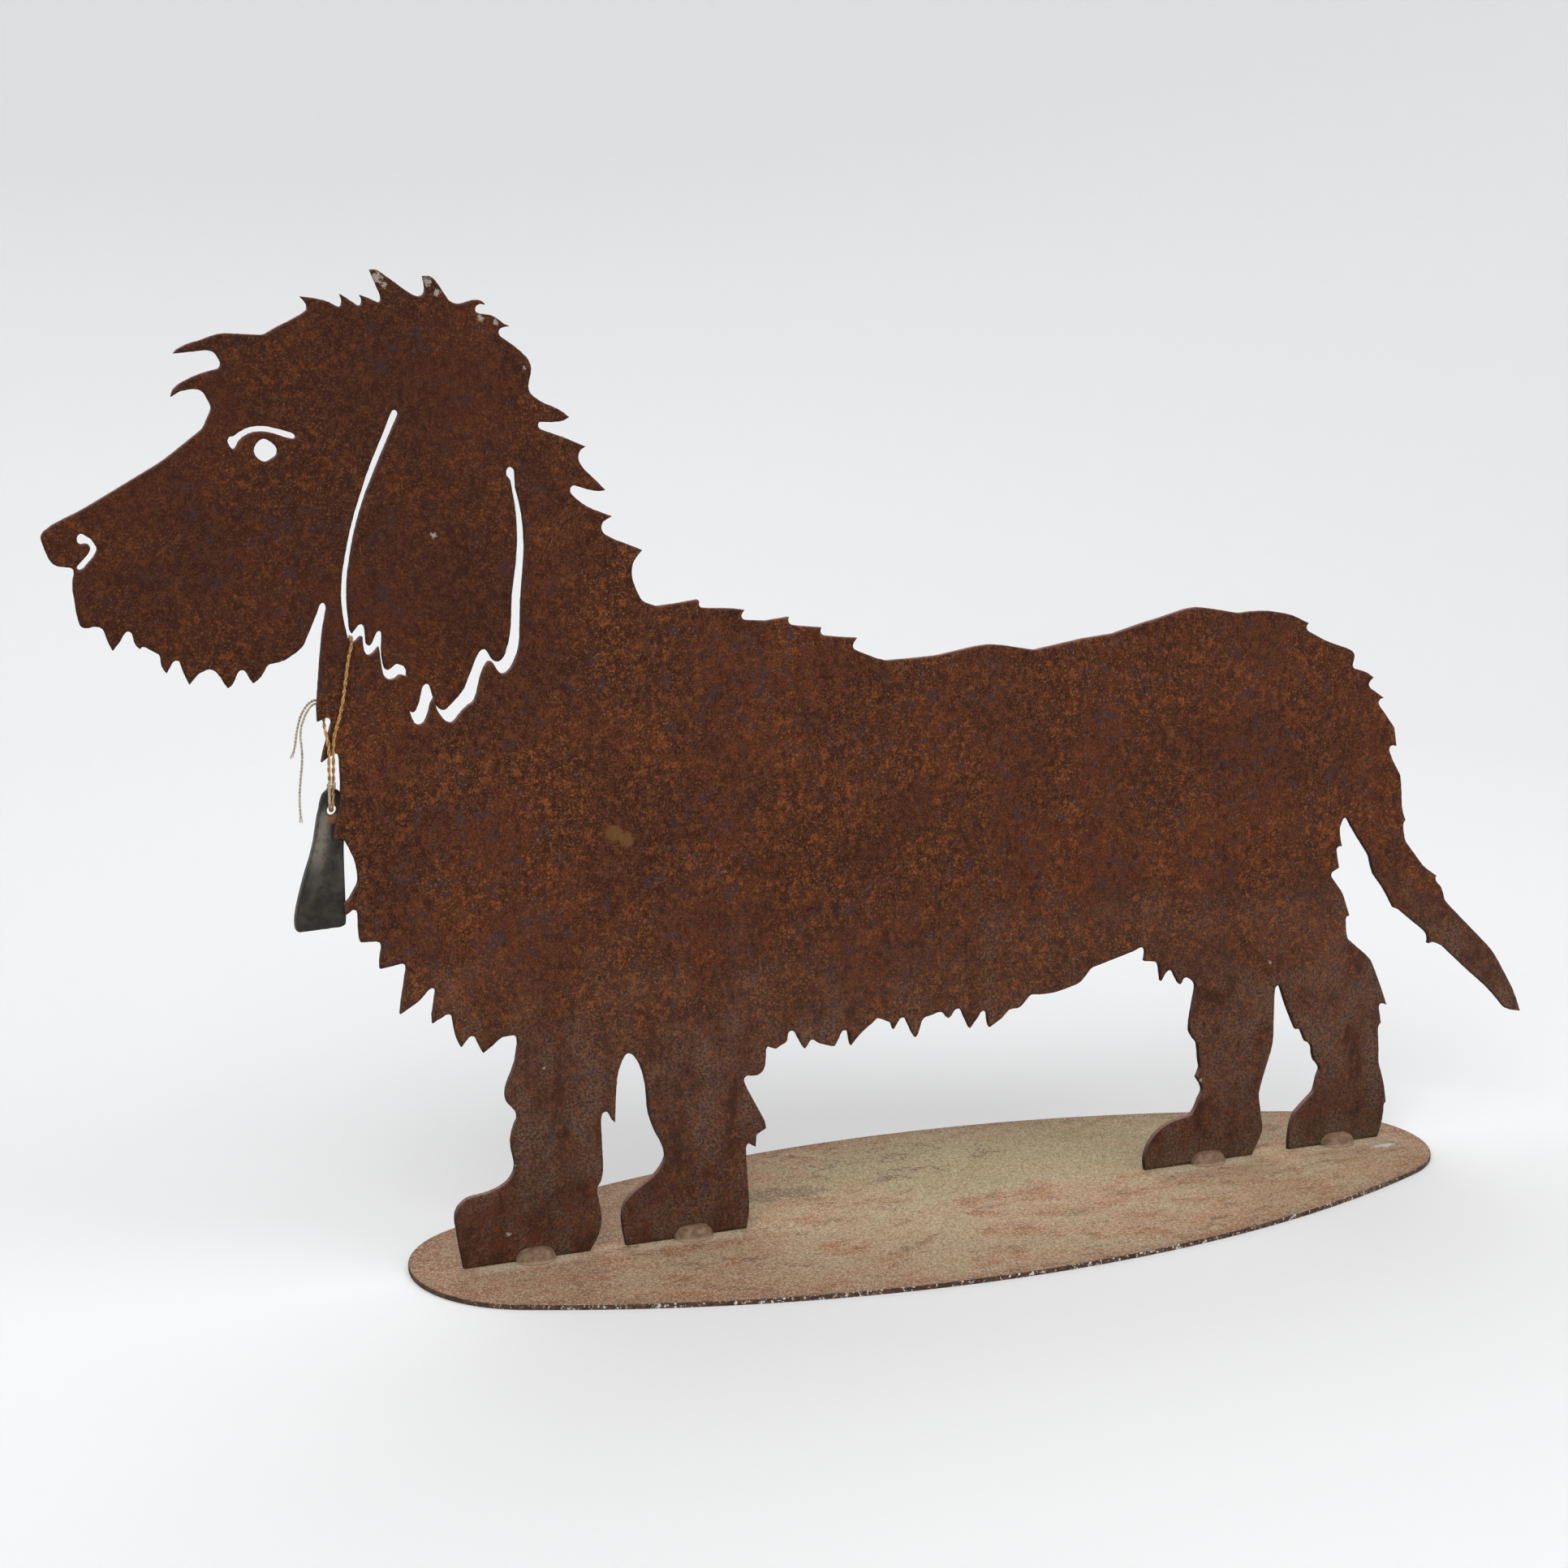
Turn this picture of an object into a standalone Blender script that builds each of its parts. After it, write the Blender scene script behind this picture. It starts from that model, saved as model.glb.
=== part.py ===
"""A standing dog cut from one steel sheet, tack-welded to an oval base, with a pendant on twine.

The dog is a flat silhouette, drawn in millimetres as the torch cut it: every stroke is a smooth
curve from one sharp point to the next. X runs along the dog with the nose at -X, Y is its
thickness with the shown face at -Y, and Z is up from the underside of the base.
"""

import math

import bmesh
import bpy
import numpy as np
from mathutils import Vector
from mathutils.geometry import delaunay_2d_cdt

MM = 0.001

# Driving dimensions, in metres.
DOG_LENGTH = 0.842       # nose tip to tail tip
DOG_HEIGHT = 0.495       # soles to the tallest tuft on the crown
DOG_SHEET = 0.003        # thickness of the dog's steel
BASE_LENGTH = 0.602
BASE_WIDTH = 0.234
BASE_SHEET = 0.0025      # thickness of the base's steel
BASE_END_RADIUS = 0.066  # radius of the oval's two ends
TOUCH_GAP = 0.0003       # clearance between pieces that rest on each other

WELD_WIDTH = 0.021       # along the sole
WELD_RISE = 0.007        # up the foot
WELD_REACH = 0.009       # out over the base

TAG_SHEET = 0.005
TAG_EDGE_RADIUS = 0.0012
TAG_HOLE = 0.005
TAG_HOLE_FLARE = 0.0010  # how far the worn rim widens, and how deep
TAG_STANDOFF = 0.0006    # from the back of the dog to the front of the pendant

TWINE = 0.0016           # diameter of the twine under load
TWINE_END = 0.0012       # diameter of its loose ends

# How finely curves become straight facets: the largest error, in millimetres of the drawing.
FACET_ERROR = 0.11
STEPS_PER_SPAN = 8

# The dog's silhouette, clockwise from the chin, as (x, z) in millimetres. Each row is one stroke,
# which starts at the sharp point that ends the row before it.
HEAD = [
    [(-436.6, 325.5), (-437.9, 329), (-438.9, 332), (-440.3, 333.1), (-443, 333.7), (-445.5, 333.2),
     (-447.8, 333.2), (-449, 334.2), (-449.8, 336.5), (-450.6, 341), (-451.3, 347), (-451.7, 352),
     (-451.4, 355.5), (-450.8, 358), (-450.8, 359.7), (-451.8, 360.8), (-454.3, 361.4), (-458.3, 362),
     (-460.7, 363.8), (-462.4, 367), (-463.8, 371.3), (-464.8, 375), (-464, 377.2), (-461, 379.8),
     (-456.5, 382.3), (-448.5, 386), (-439.5, 390.8), (-429.5, 396.6), (-419.5, 402.3),
     (-409.5, 408.1), (-401, 414.3), (-394.5, 419.3), (-390.7, 422.2), (-389.1, 424.4), (-387.5, 428),
     (-385.8, 431.8), (-386, 433.5), (-387.2, 436.2), (-389, 439.2), (-390.3, 440.2), (-393.5, 440.8),
     (-397, 440.5), (-399.5, 440), (-402, 438.7), (-403.9, 437.5)],
    [(-402.6, 441), (-399.6, 443.5), (-395.6, 445.6), (-391.6, 447.3), (-387.6, 448.6), (-384, 449.5),
     (-382, 450), (-380.9, 451), (-380.6, 452.5), (-381.3, 454.4), (-382.9, 456.8), (-384, 457.7),
     (-386, 458.3), (-388.5, 458.3), (-392, 457.9), (-397, 457.4), (-402, 457)],
    [(-400.8, 458.6), (-398.3, 460.1), (-395, 461.5), (-390, 462.9), (-385, 464.7), (-380, 466),
     (-375, 465.9), (-367, 465.6), (-360.5, 465.4), (-357.5, 466.9), (-354, 468.9), (-349, 471.2),
     (-345, 473.4), (-341.5, 475.2), (-339.8, 476.7), (-339.6, 478.6), (-340.5, 480.3),
     (-342.8, 482.7)],
]
CROWN = [
    [(-338, 482.2), (-333, 481.3), (-329, 480), (-326, 478.3), (-324.3, 477.9), (-323.3, 479),
     (-323, 481), (-324, 483.8)],
    [(-321, 482), (-318, 480), (-315.8, 478.6), (-314.3, 478.8), (-313.6, 480), (-313.6, 481.8),
     (-314.6, 483.4)],
    [(-311, 482.2), (-308, 480.8), (-305.8, 480), (-304.6, 480.8), (-304.4, 482.6), (-305.3, 485.3),
     (-307.3, 489.8), (-309.5, 495.1)],
    [(-306.8, 495.1), (-305, 494.3), (-302, 492.2), (-298, 489.4), (-294, 486.5), (-290.5, 484.2),
     (-287.5, 482.9), (-285.3, 483), (-283.8, 484), (-283.1, 486), (-283.4, 489), (-284, 492.3)],
    [(-281.5, 492.3), (-279.5, 491.5), (-278, 490), (-275.5, 486.5), (-273, 482.5), (-271.3, 480.6),
     (-269, 479.6), (-266, 479.4), (-262.5, 480.4), (-259.5, 481.2), (-256.8, 481.1),
     (-254.8, 480), (-253.9, 478.9)],
    [(-255.5, 479.3), (-257.2, 479), (-258.7, 477.8), (-258.8, 476), (-257.5, 474.9), (-254, 474.5),
     (-250.5, 473.8), (-247, 471.6), (-244.5, 469.8), (-242, 468.8)],
]
NAPE = [
    [(-245, 468.3), (-246.8, 467.5), (-247.6, 466), (-247, 464.4), (-244, 462.3), (-240, 459.5),
     (-236, 456.3), (-233, 453), (-231.7, 449.5), (-231.9, 445.8), (-232.9, 442.3), (-233.1, 439.3),
     (-232, 436.8), (-229.5, 434.6), (-225.5, 432.2), (-220, 430), (-216, 427.8), (-212.6, 425.2)],
    [(-214.6, 424), (-216.2, 423.3), (-220, 422.9), (-225, 422.9), (-227.9, 423), (-228.5, 421.6),
     (-227.8, 420), (-225, 418.7), (-218, 416.4), (-211, 413.7), (-204.4, 410.8)],
    [(-207, 409.2), (-208, 407.5), (-208.2, 404.8), (-207, 402), (-204.5, 399), (-201, 395.8),
     (-197.5, 392.5), (-194.5, 389.3)],
    [(-198, 388.9), (-203, 389.8), (-207, 391.1), (-210.7, 392.1), (-212.3, 391.2), (-212.7, 389.2),
     (-211.3, 387.2), (-208.3, 384.6), (-205, 382.2), (-201.5, 380.4), (-196.5, 378.5),
     (-191.2, 376.5)],
    [(-193.7, 375.2), (-196, 373.6), (-196.8, 370.9), (-195.6, 368.3), (-192.3, 366.2), (-188, 364.2),
     (-182, 362), (-175.5, 359.3)],
    [(-178.3, 356.3), (-180.5, 352.7), (-181.2, 348.2), (-180.4, 343.7), (-178.5, 339),
     (-176.5, 335.2), (-174.8, 333.5), (-171.5, 332.3), (-168, 331)],
]
BACK = [
    [(-160, 331.6), (-152, 332.5), (-146.3, 333.3)],
    [(-145.4, 332.3), (-145.6, 330.8), (-144.6, 329.4), (-141, 328.8), (-133, 328.4), (-126, 327.9),
     (-120.8, 327)],
    [(-122, 325.7), (-122.6, 324.3), (-121.9, 322.7), (-120, 321.9), (-114, 321.4), (-109, 320.9),
     (-103, 321.6), (-96.4, 322.3)],
    [(-96.8, 320.6), (-95.9, 318.9), (-93, 317.8), (-87, 317), (-82.5, 316.5), (-78.3, 316.1)],
    [(-78.8, 314.5), (-78.2, 312.7), (-76, 311.8), (-70, 311), (-64, 310.2), (-58.1, 309.8)],
    [(-59.6, 307.8), (-60.5, 305.9), (-60, 304.3), (-58, 303.1), (-52, 300.7), (-46, 298.3),
     (-41, 297)],
    [(-32, 297.2), (-22, 297.6), (-12, 298.1), (-4, 299.4), (6, 301), (14, 302.1), (20, 302.3),
     (27, 301.6), (36, 300), (46, 298.1)],
    [(54, 299.3), (64, 300.9), (76, 302.8), (86, 303.7), (94, 304.5), (102, 306.6), (112, 309.3),
     (124, 312), (134, 314.6), (140, 315.9), (146, 316.4), (155, 315.3), (165, 313.4), (173, 312)],
]
RUMP = [
    [(180, 312.5), (190, 312.5), (199, 311.3), (207, 309.5), (213, 307), (218.4, 304.5)],
    [(217.4, 303.2), (217.2, 301.6), (218.5, 300), (222, 298.2), (230, 294.2), (238, 291.3),
     (245, 289), (248.6, 287), (249.8, 284.6), (249.2, 281.5), (248.8, 279.3), (249.8, 277.5),
     (254, 276.2), (258.5, 274.6), (263.3, 271.5)],
    [(261.2, 269.8), (260.2, 267.8), (261.2, 265.8), (265, 263.3), (270.8, 259.4)],
    [(268.6, 259), (267.3, 257.3), (268, 255.2), (271.3, 251.3), (275, 246.6), (278.7, 242)],
    [(279.7, 237), (280.8, 231.1)],
    [(278.3, 231.6), (276.6, 231.2), (275.9, 229.6), (277, 226.5), (279, 222.3), (281.8, 217.8),
     (284, 214.3), (284.9, 210), (285.5, 203), (286.2, 196), (287.3, 191.8), (289.1, 187.6)],
]
TAIL = [
    [(288, 186), (287.8, 183), (288.6, 179), (290, 174.9), (294, 170), (299, 164), (303, 159.5),
     (308, 156), (312.2, 153.1)],
    [(311.9, 151), (313, 149), (316, 146), (317.6, 142.5), (319, 138.3), (322, 134.9), (330, 127.5),
     (340, 118.3), (348, 111), (354, 105), (359, 98.5), (365, 89), (370.5, 80.5), (374, 73.5),
     (377.3, 65.2)],
    [(372.5, 66.1), (369, 67), (366, 68.8), (363, 72), (357, 78.4), (350.5, 84.4), (340.5, 92.4),
     (330.5, 100.9), (324.5, 106), (320, 110), (315.5, 112.2), (311.5, 113.5), (309, 112.9)],
    [(309.3, 115), (308.6, 118), (306.5, 120.4), (301, 124.6), (294, 130), (288.5, 134.4),
     (285.5, 135.9), (284, 136.3)],
]
HIND_LEG_BACK = [
    [(282.3, 139), (280, 143), (276, 149), (272, 154), (269.7, 156.8), (267.8, 161), (266.3, 166),
     (265.2, 169), (261, 174.6), (256, 181.6), (252, 187.5), (250, 190.8), (248.3, 192.1),
     (246.4, 191.4), (245, 188.8), (244.3, 186), (244.8, 181), (246.1, 175.7)],
    [(243.7, 175.5), (242.6, 174.2), (242.8, 172), (243.8, 167), (244.7, 163.2)],
    [(241.5, 161.8), (239.9, 160.8), (239.6, 159), (241.3, 156.5), (244.5, 152.5), (247.8, 148),
     (249.8, 143), (251.5, 138.5), (253, 134.7)],
    [(251.3, 134.2), (250.6, 132.8), (250.9, 129), (251.5, 124), (252.5, 121.2), (256, 118.2),
     (262, 113.3), (267, 109), (269.5, 105.8), (273, 98.5), (277, 89.5), (281.2, 79)],
    [(278, 80.2), (276.6, 80), (275.9, 78.5), (276.5, 75), (277.5, 70.5), (277.8, 68.7)],
    [(276.4, 67.3), (275.9, 65), (276.3, 60), (276.8, 54), (277, 49), (277.2, 45), (278.5, 41)],
    [(280.5, 35), (281.8, 30), (282.8, 24.5), (283.4, 20.6)],
    [(282.2, 19), (282, 15), (281.5, 11), (280.5, 7), (279.3, 2), (278.3, 0)],
]
HIND_FEET = [
    [(217, 0)],
    [(216.9, 3), (217.3, 10), (218.4, 16), (220.3, 20.8), (224, 24.6), (229, 29), (233, 32.6),
     (234, 36), (235.2, 41), (236.8, 45.5), (235.3, 48.5), (233, 51), (231.5, 55), (231, 59),
     (229, 61.8), (226.6, 62.9)],
    [(225.4, 65), (223.6, 69), (222, 71), (219.4, 71.1)],
    [(217, 76), (213.9, 82.5), (211.4, 88.5), (209.3, 94), (208, 97.3), (206.3, 98.4), (204.6, 97.2),
     (204.1, 95), (204, 85), (204.1, 75), (204, 66), (203, 60.5), (200.5, 53), (198, 45), (196, 38),
     (195.6, 35), (196.2, 31), (197.3, 24), (198.7, 16), (198.7, 13.5), (197, 9), (194.3, 4),
     (192.3, 0)],
    [(121.8, 0)],
    [(121.1, 5), (121.7, 10), (123.2, 13.8), (126.4, 18.6), (131.9, 23.2), (138.3, 26.1),
     (145.3, 27.4), (150.5, 28.4), (153.2, 31.4), (155.7, 37), (158, 42), (157.3, 45), (155.5, 48),
     (153.9, 50.2)],
]
BELLY = [
    [(155.3, 53), (156.1, 56), (155.3, 60), (154.5, 66), (153.9, 70), (151.3, 73.2), (148.9, 77),
     (148.5, 80), (149.3, 87), (150.6, 95), (151.8, 103.5), (150.5, 106), (147.5, 108.2),
     (145, 109), (143.5, 108.2), (142.6, 106.3), (141.6, 105.4)],
    [(140.6, 106.4), (138.4, 110.4), (136.7, 113.2), (135, 114.2), (133.3, 114), (131.7, 112.5),
     (130.2, 110), (129.2, 108.5)],
    [(128.9, 110.5), (128.2, 115), (127.5, 118), (126, 119.6), (122.5, 120.5), (118.3, 121)],
    [(118.6, 123.5), (118.9, 126.5), (117.8, 128.4), (115.8, 129), (114, 128.8), (112, 127.7),
     (106, 126.1), (100, 124.5), (92, 122.4), (87, 121.2), (84.5, 120.3), (81.5, 117), (78, 113.5),
     (76, 112.4), (70, 110.8), (63, 109.2), (59, 108.8), (53, 108.8), (48, 109.3), (46.5, 108.8),
     (44, 106.3), (41, 103.3), (39.5, 102.6), (34.5, 102.4), (33, 101.5), (31, 99.5), (29.5, 98),
     (26, 96), (22.2, 93.7)],
    [(21.5, 95.2), (21, 99), (20.4, 101.8), (18.8, 103.2), (17.3, 103.1), (16, 101.9), (14.5, 99.6),
     (12.5, 97.3), (10.2, 94.4)],
    [(9.3, 96.2), (7, 100.8), (5, 105), (3.3, 106), (1.3, 105.9), (0.3, 105), (-1, 102.8),
     (-2.7, 101.4)],
    [(-3.5, 101.8), (-4.8, 103.6), (-6.8, 105), (-9.5, 105.4), (-11.5, 104.6), (-14.5, 104),
     (-17, 103.4), (-18.6, 102), (-20, 98.3), (-21.2, 94.6), (-22.5, 92.9)],
    [(-23.4, 94.2), (-25.1, 97.5), (-27, 101.5), (-28.6, 104.2), (-31, 104.6), (-32.2, 103.8),
     (-33.5, 101.8), (-35.5, 98.8)],
    [(-35.9, 100), (-36.9, 102.3), (-39.5, 103.6), (-43, 105.3), (-45.5, 105.8), (-46.5, 105),
     (-48.5, 103.3), (-51, 101.7), (-55, 98.5), (-58.5, 95), (-60.4, 92.7)],
    [(-60.8, 94), (-61.3, 96.3), (-61.9, 100), (-63, 101.2), (-65.3, 101.2), (-66.5, 99.8),
     (-67.5, 97.5), (-69, 95), (-70, 93.4)],
    [(-71.5, 93.5), (-75, 94.6), (-79, 96), (-81.8, 97.9), (-83.3, 98.4), (-84.5, 97.5),
     (-86, 95.2), (-87.1, 93.9)],
    [(-87.9, 95), (-90.2, 99.3), (-92.7, 103.5), (-94.7, 104.5), (-96.3, 104), (-97, 102),
     (-97.3, 99.5), (-98.5, 98.3), (-101.5, 97), (-103.6, 95.7)],
]
FORE_FEET = [
    [(-106, 96.4), (-108.3, 97.3), (-109.2, 96), (-109.4, 91.5), (-110, 87), (-111.4, 84.3),
     (-113.6, 82.8), (-117, 82.6), (-120.3, 82.9), (-121.8, 81.3), (-121.3, 79), (-118.5, 73),
     (-115, 66.5), (-112, 61), (-110, 56.8), (-109.3, 53.2)],
    [(-112, 51.8), (-114.6, 50.3), (-115, 47.5), (-115.3, 43.8)],
    [(-117.5, 45), (-119.3, 46.2), (-120.6, 44.8), (-120.8, 41), (-120.3, 32), (-119.5, 22),
     (-119.1, 14), (-119.3, 7), (-120.6, 0)],
    [(-187.8, 0)],
    [(-188.7, 4), (-189.7, 10), (-190, 16), (-189.3, 20.5), (-187.6, 24.2), (-182.3, 28.9),
     (-175.3, 33.4), (-170.7, 37), (-167.7, 40.8), (-166, 44.5), (-166.2, 48), (-168.1, 53.2),
     (-170.6, 57.8), (-173, 63.8), (-174.8, 70), (-175.5, 77), (-176, 84), (-177.3, 90.2),
     (-179.3, 95.8), (-181.7, 99.8), (-184.3, 102), (-186.5, 102.4), (-188.2, 100.5),
     (-190.5, 95.5), (-191.8, 90), (-192.5, 83), (-192.9, 75), (-193.1, 69), (-193.2, 66.6)],
    [(-194.2, 67.7), (-195.8, 70.8), (-197.6, 72.9), (-199.8, 72.5), (-200.7, 70), (-200.6, 60),
     (-200.2, 50), (-200.1, 42), (-201.3, 36.5), (-203.4, 33), (-203.3, 30.5), (-202.3, 25.5),
     (-201.3, 19.5), (-201.3, 14), (-202.6, 8.8), (-205, 4), (-207.5, 0)],
    [(-274.8, 0)],
    [(-275.7, 5), (-276.9, 12), (-278.1, 20), (-278.8, 25.8), (-278.4, 30), (-276.5, 33.4),
     (-272.5, 36.4), (-269.5, 37.2), (-262.8, 37.9), (-257.7, 39.2), (-253.4, 41.1), (-249.2, 44.6),
     (-247.1, 49.3), (-247.4, 54), (-248.4, 58.5), (-248.8, 62.5), (-248.3, 67), (-246.9, 71.5),
     (-245.3, 75.3), (-245.6, 78.2), (-248.1, 81.2), (-250.6, 84.6), (-251.3, 88), (-250.9, 91.5),
     (-249.4, 96), (-247.1, 101), (-245.6, 105.5), (-244.8, 110), (-244.3, 115), (-244.8, 117.5),
     (-246.5, 118.6), (-250, 118.5), (-252.2, 118.4), (-254.3, 117.2), (-258, 114.2),
     (-262.3, 111.3)],
]
CHEST = [
    [(-262.8, 112.2), (-264.4, 115.6), (-265.9, 119), (-267.5, 120.5), (-269.3, 120.3),
     (-270.9, 118.7), (-272.3, 116.9), (-273.6, 115.5)],
    [(-274.7, 117.7), (-276.1, 121.7), (-277, 126), (-277.5, 130), (-278.1, 132), (-279.6, 133),
     (-281.5, 132.8), (-283, 131.8), (-285.5, 130.7), (-287.9, 129.2)],
    [(-288, 133), (-287.2, 138), (-286.5, 142.5), (-286, 145.5), (-286.8, 146.9), (-288.5, 147.1),
     (-289.9, 146.2), (-292, 143.9), (-295, 141.1), (-299, 138.6), (-304.1, 135.6)],
    [(-304, 137.3), (-303.2, 143), (-302, 150), (-300.9, 156), (-300.6, 159), (-301.6, 160.7),
     (-303.7, 161.1), (-305.6, 160.6), (-308.5, 160.2), (-313.6, 159.5)],
    [(-313.7, 162), (-313.3, 166), (-312.5, 170), (-313.2, 172.3), (-315.2, 173.4), (-318, 173.5),
     (-322.8, 173.7)],
    [(-323.3, 175.5), (-323.7, 180), (-323.8, 185), (-323.8, 188.2), (-324.9, 189.8),
     (-326.7, 190.2), (-328.1, 189), (-330.3, 187.8)],
    [(-330.6, 190.5), (-330.3, 193.4), (-328.4, 195.2), (-326.5, 198), (-324.5, 201.3),
     (-323.5, 203.5), (-323.3, 206.5), (-323.8, 211), (-324.5, 214.2), (-326, 218), (-327.6, 221.6),
     (-328.9, 223.9), (-330.2, 225.3), (-331.7, 226), (-333.2, 225.6), (-334.9, 225)],
    [(-334.4, 228), (-333.9, 230.5), (-332.9, 234), (-331.9, 238), (-331, 244), (-330.5, 250),
     (-330.5, 256), (-330.6, 262), (-330.8, 265.5), (-331.5, 267), (-332.6, 267.5), (-334, 267),
     (-336, 266), (-338, 264.7), (-339.5, 263.6)],
    [(-339.3, 265), (-338.5, 268.5), (-337.1, 273), (-335.6, 277.6), (-334.6, 281), (-334.1, 282.8),
     (-334.5, 284), (-335.6, 284.8), (-337.2, 285), (-338.5, 284.3), (-340.8, 283.3)],
]
THROAT = [
    [(-340.8, 285), (-340.9, 290), (-340.3, 296), (-339.6, 304), (-338.8, 312), (-337.8, 320),
     (-336.8, 328), (-335.6, 334), (-334.8, 338), (-336, 340), (-337.8, 339.5), (-339.4, 335.8),
     (-342, 330), (-344.5, 324.5), (-346.3, 320.6), (-347.7, 318.9), (-350.2, 316.9), (-353, 315.2),
     (-355.7, 313.6), (-358.5, 312.8), (-361.5, 312.4), (-363.5, 311.8), (-365, 309.8),
     (-366.6, 307), (-368.8, 304.9), (-370.8, 303.5)],
]
CHIN = [
    [(-372, 305.3), (-373.5, 308.2), (-375.2, 309.9), (-377, 309.8), (-378.3, 308.4),
     (-379.5, 305.5), (-381, 303.2), (-382.8, 301.8)],
    [(-383.8, 303.2), (-386, 307.2), (-388.6, 310.2), (-391.3, 311.3), (-393.6, 310.6),
     (-396.6, 309.1), (-398.7, 306.7), (-400.6, 304.6)],
    [(-401.5, 306.5), (-403, 310.2), (-404, 313.7), (-405.1, 315.7), (-406.9, 316.1),
     (-408.2, 315.3), (-409.2, 313.3), (-411, 310.4)],
    [(-412, 311.7), (-413.1, 314.2), (-413.3, 317.6), (-414.2, 319.3), (-417, 320.9), (-420, 322.8),
     (-421.7, 323.3), (-422.8, 322.3)],
    [(-424.1, 323.7), (-425.1, 325.7), (-425.5, 328.2), (-426.3, 330), (-428, 330.8), (-429.3, 330),
     (-430.5, 328), (-432.5, 325.2), (-435.1, 322.2)],
]
SILHOUETTE = HEAD + CROWN + NAPE + BACK + RUMP + TAIL + HIND_LEG_BACK + HIND_FEET + BELLY
SILHOUETTE = SILHOUETTE + FORE_FEET + CHEST + THROAT + CHIN

# Cut-outs. A list of strokes runs as above; a single list of points is smooth all the way round.
EYE = [(-362.6, 417.6), (-359.2, 416.6), (-355.8, 413), (-356.2, 410), (-359, 408), (-361.8, 407),
       (-365, 408.6), (-366.9, 411.9), (-365.7, 415.4)]
BROW = [(-378.9, 417), (-378, 418.9), (-376.2, 419.1), (-373, 421.2), (-369, 423), (-363, 423.6),
        (-357, 422.6), (-351, 420.8), (-348, 419.8), (-346.8, 418.5), (-347.6, 417.4),
        (-349.5, 417.6), (-353.5, 418.7), (-358, 420.3), (-363, 421.1), (-367.5, 420.6),
        (-371.3, 418.8), (-373.8, 416.3), (-375.3, 413.6), (-376.6, 413.2), (-378, 414.6)]
NOSTRIL = [(-449, 374), (-448.4, 375.8), (-447, 376.4), (-445, 375.3), (-442.6, 373.8),
           (-440.9, 371.2), (-440.2, 369.5), (-441, 366.8), (-443.6, 363.6), (-446.8, 360.4),
           (-448.6, 359.9), (-449.6, 361.2), (-448.6, 362.6), (-446, 365.1), (-443.8, 367.8),
           (-443.2, 369.8), (-443.9, 371.4), (-445.3, 371.9), (-447.1, 371.6), (-448.5, 372.3)]
EAR_FRONT = [
    [(-322.2, 320.6), (-320.6, 321.6), (-319, 323.2), (-318.1, 323.1), (-317.8, 320),
     (-317.3, 316.4), (-316.4, 314.6), (-315, 314), (-313.2, 314.6), (-311.4, 316.3),
     (-310.1, 317.8)],
    [(-309.8, 316), (-309.3, 310.5), (-308.7, 306.3), (-307.8, 303.6), (-305.9, 301.9),
     (-303.8, 301.6), (-301.9, 302.4), (-300, 303.7), (-298.5, 303.5), (-296.8, 302.8)],
    [(-296.6, 305.6), (-297.7, 307.5), (-300, 308.6), (-301.8, 309), (-303.5, 307.9), (-305, 306.8),
     (-306.5, 306.4), (-307.4, 307.5), (-308.2, 311), (-308.6, 316), (-308.5, 319), (-308.2, 323),
     (-308.7, 325), (-310.3, 325.3), (-311.3, 324.2), (-312.5, 321.5), (-313.8, 319.2),
     (-315, 318.5), (-315.9, 319.6), (-316.2, 322), (-316.3, 325.2), (-316.8, 327.8), (-318.3, 329),
     (-319.8, 328.7), (-321, 327.2), (-323, 324.8)],
    [(-323.8, 326.8), (-324.2, 331), (-324.7, 338), (-324.7, 345), (-324, 353.5), (-322.2, 364),
     (-319.9, 374), (-317, 383.5), (-313.6, 392.8), (-310.3, 400.3), (-307, 407.7), (-303.6, 415),
     (-300.3, 422), (-298.1, 426.4), (-297.5, 428.4), (-298.5, 429.8), (-300.3, 429.8),
     (-301.4, 428.4), (-304.1, 422), (-308, 413.3), (-311.3, 406.1), (-313.9, 399.8),
     (-316.6, 392.4), (-319.8, 383.4), (-322.7, 373.4), (-325.1, 363), (-326.9, 353.5),
     (-327.7, 345), (-327.6, 337.6), (-326.6, 330), (-325.7, 325.6), (-324.9, 322)],
]
EAR_FRINGE = [
    [(-295, 283.3), (-293.6, 280.2), (-291.5, 278.8), (-289.2, 279.2), (-287.3, 281.7),
     (-285.8, 285.7), (-284.9, 289.3), (-283.4, 291.4)],
    [(-284.3, 294.6), (-285.3, 297.6), (-287.3, 298.6), (-289, 297.3), (-290, 294),
     (-290.8, 290.5), (-292, 287.5), (-293.5, 285.2), (-294.6, 285.1), (-295.8, 286.2)],
]
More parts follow.
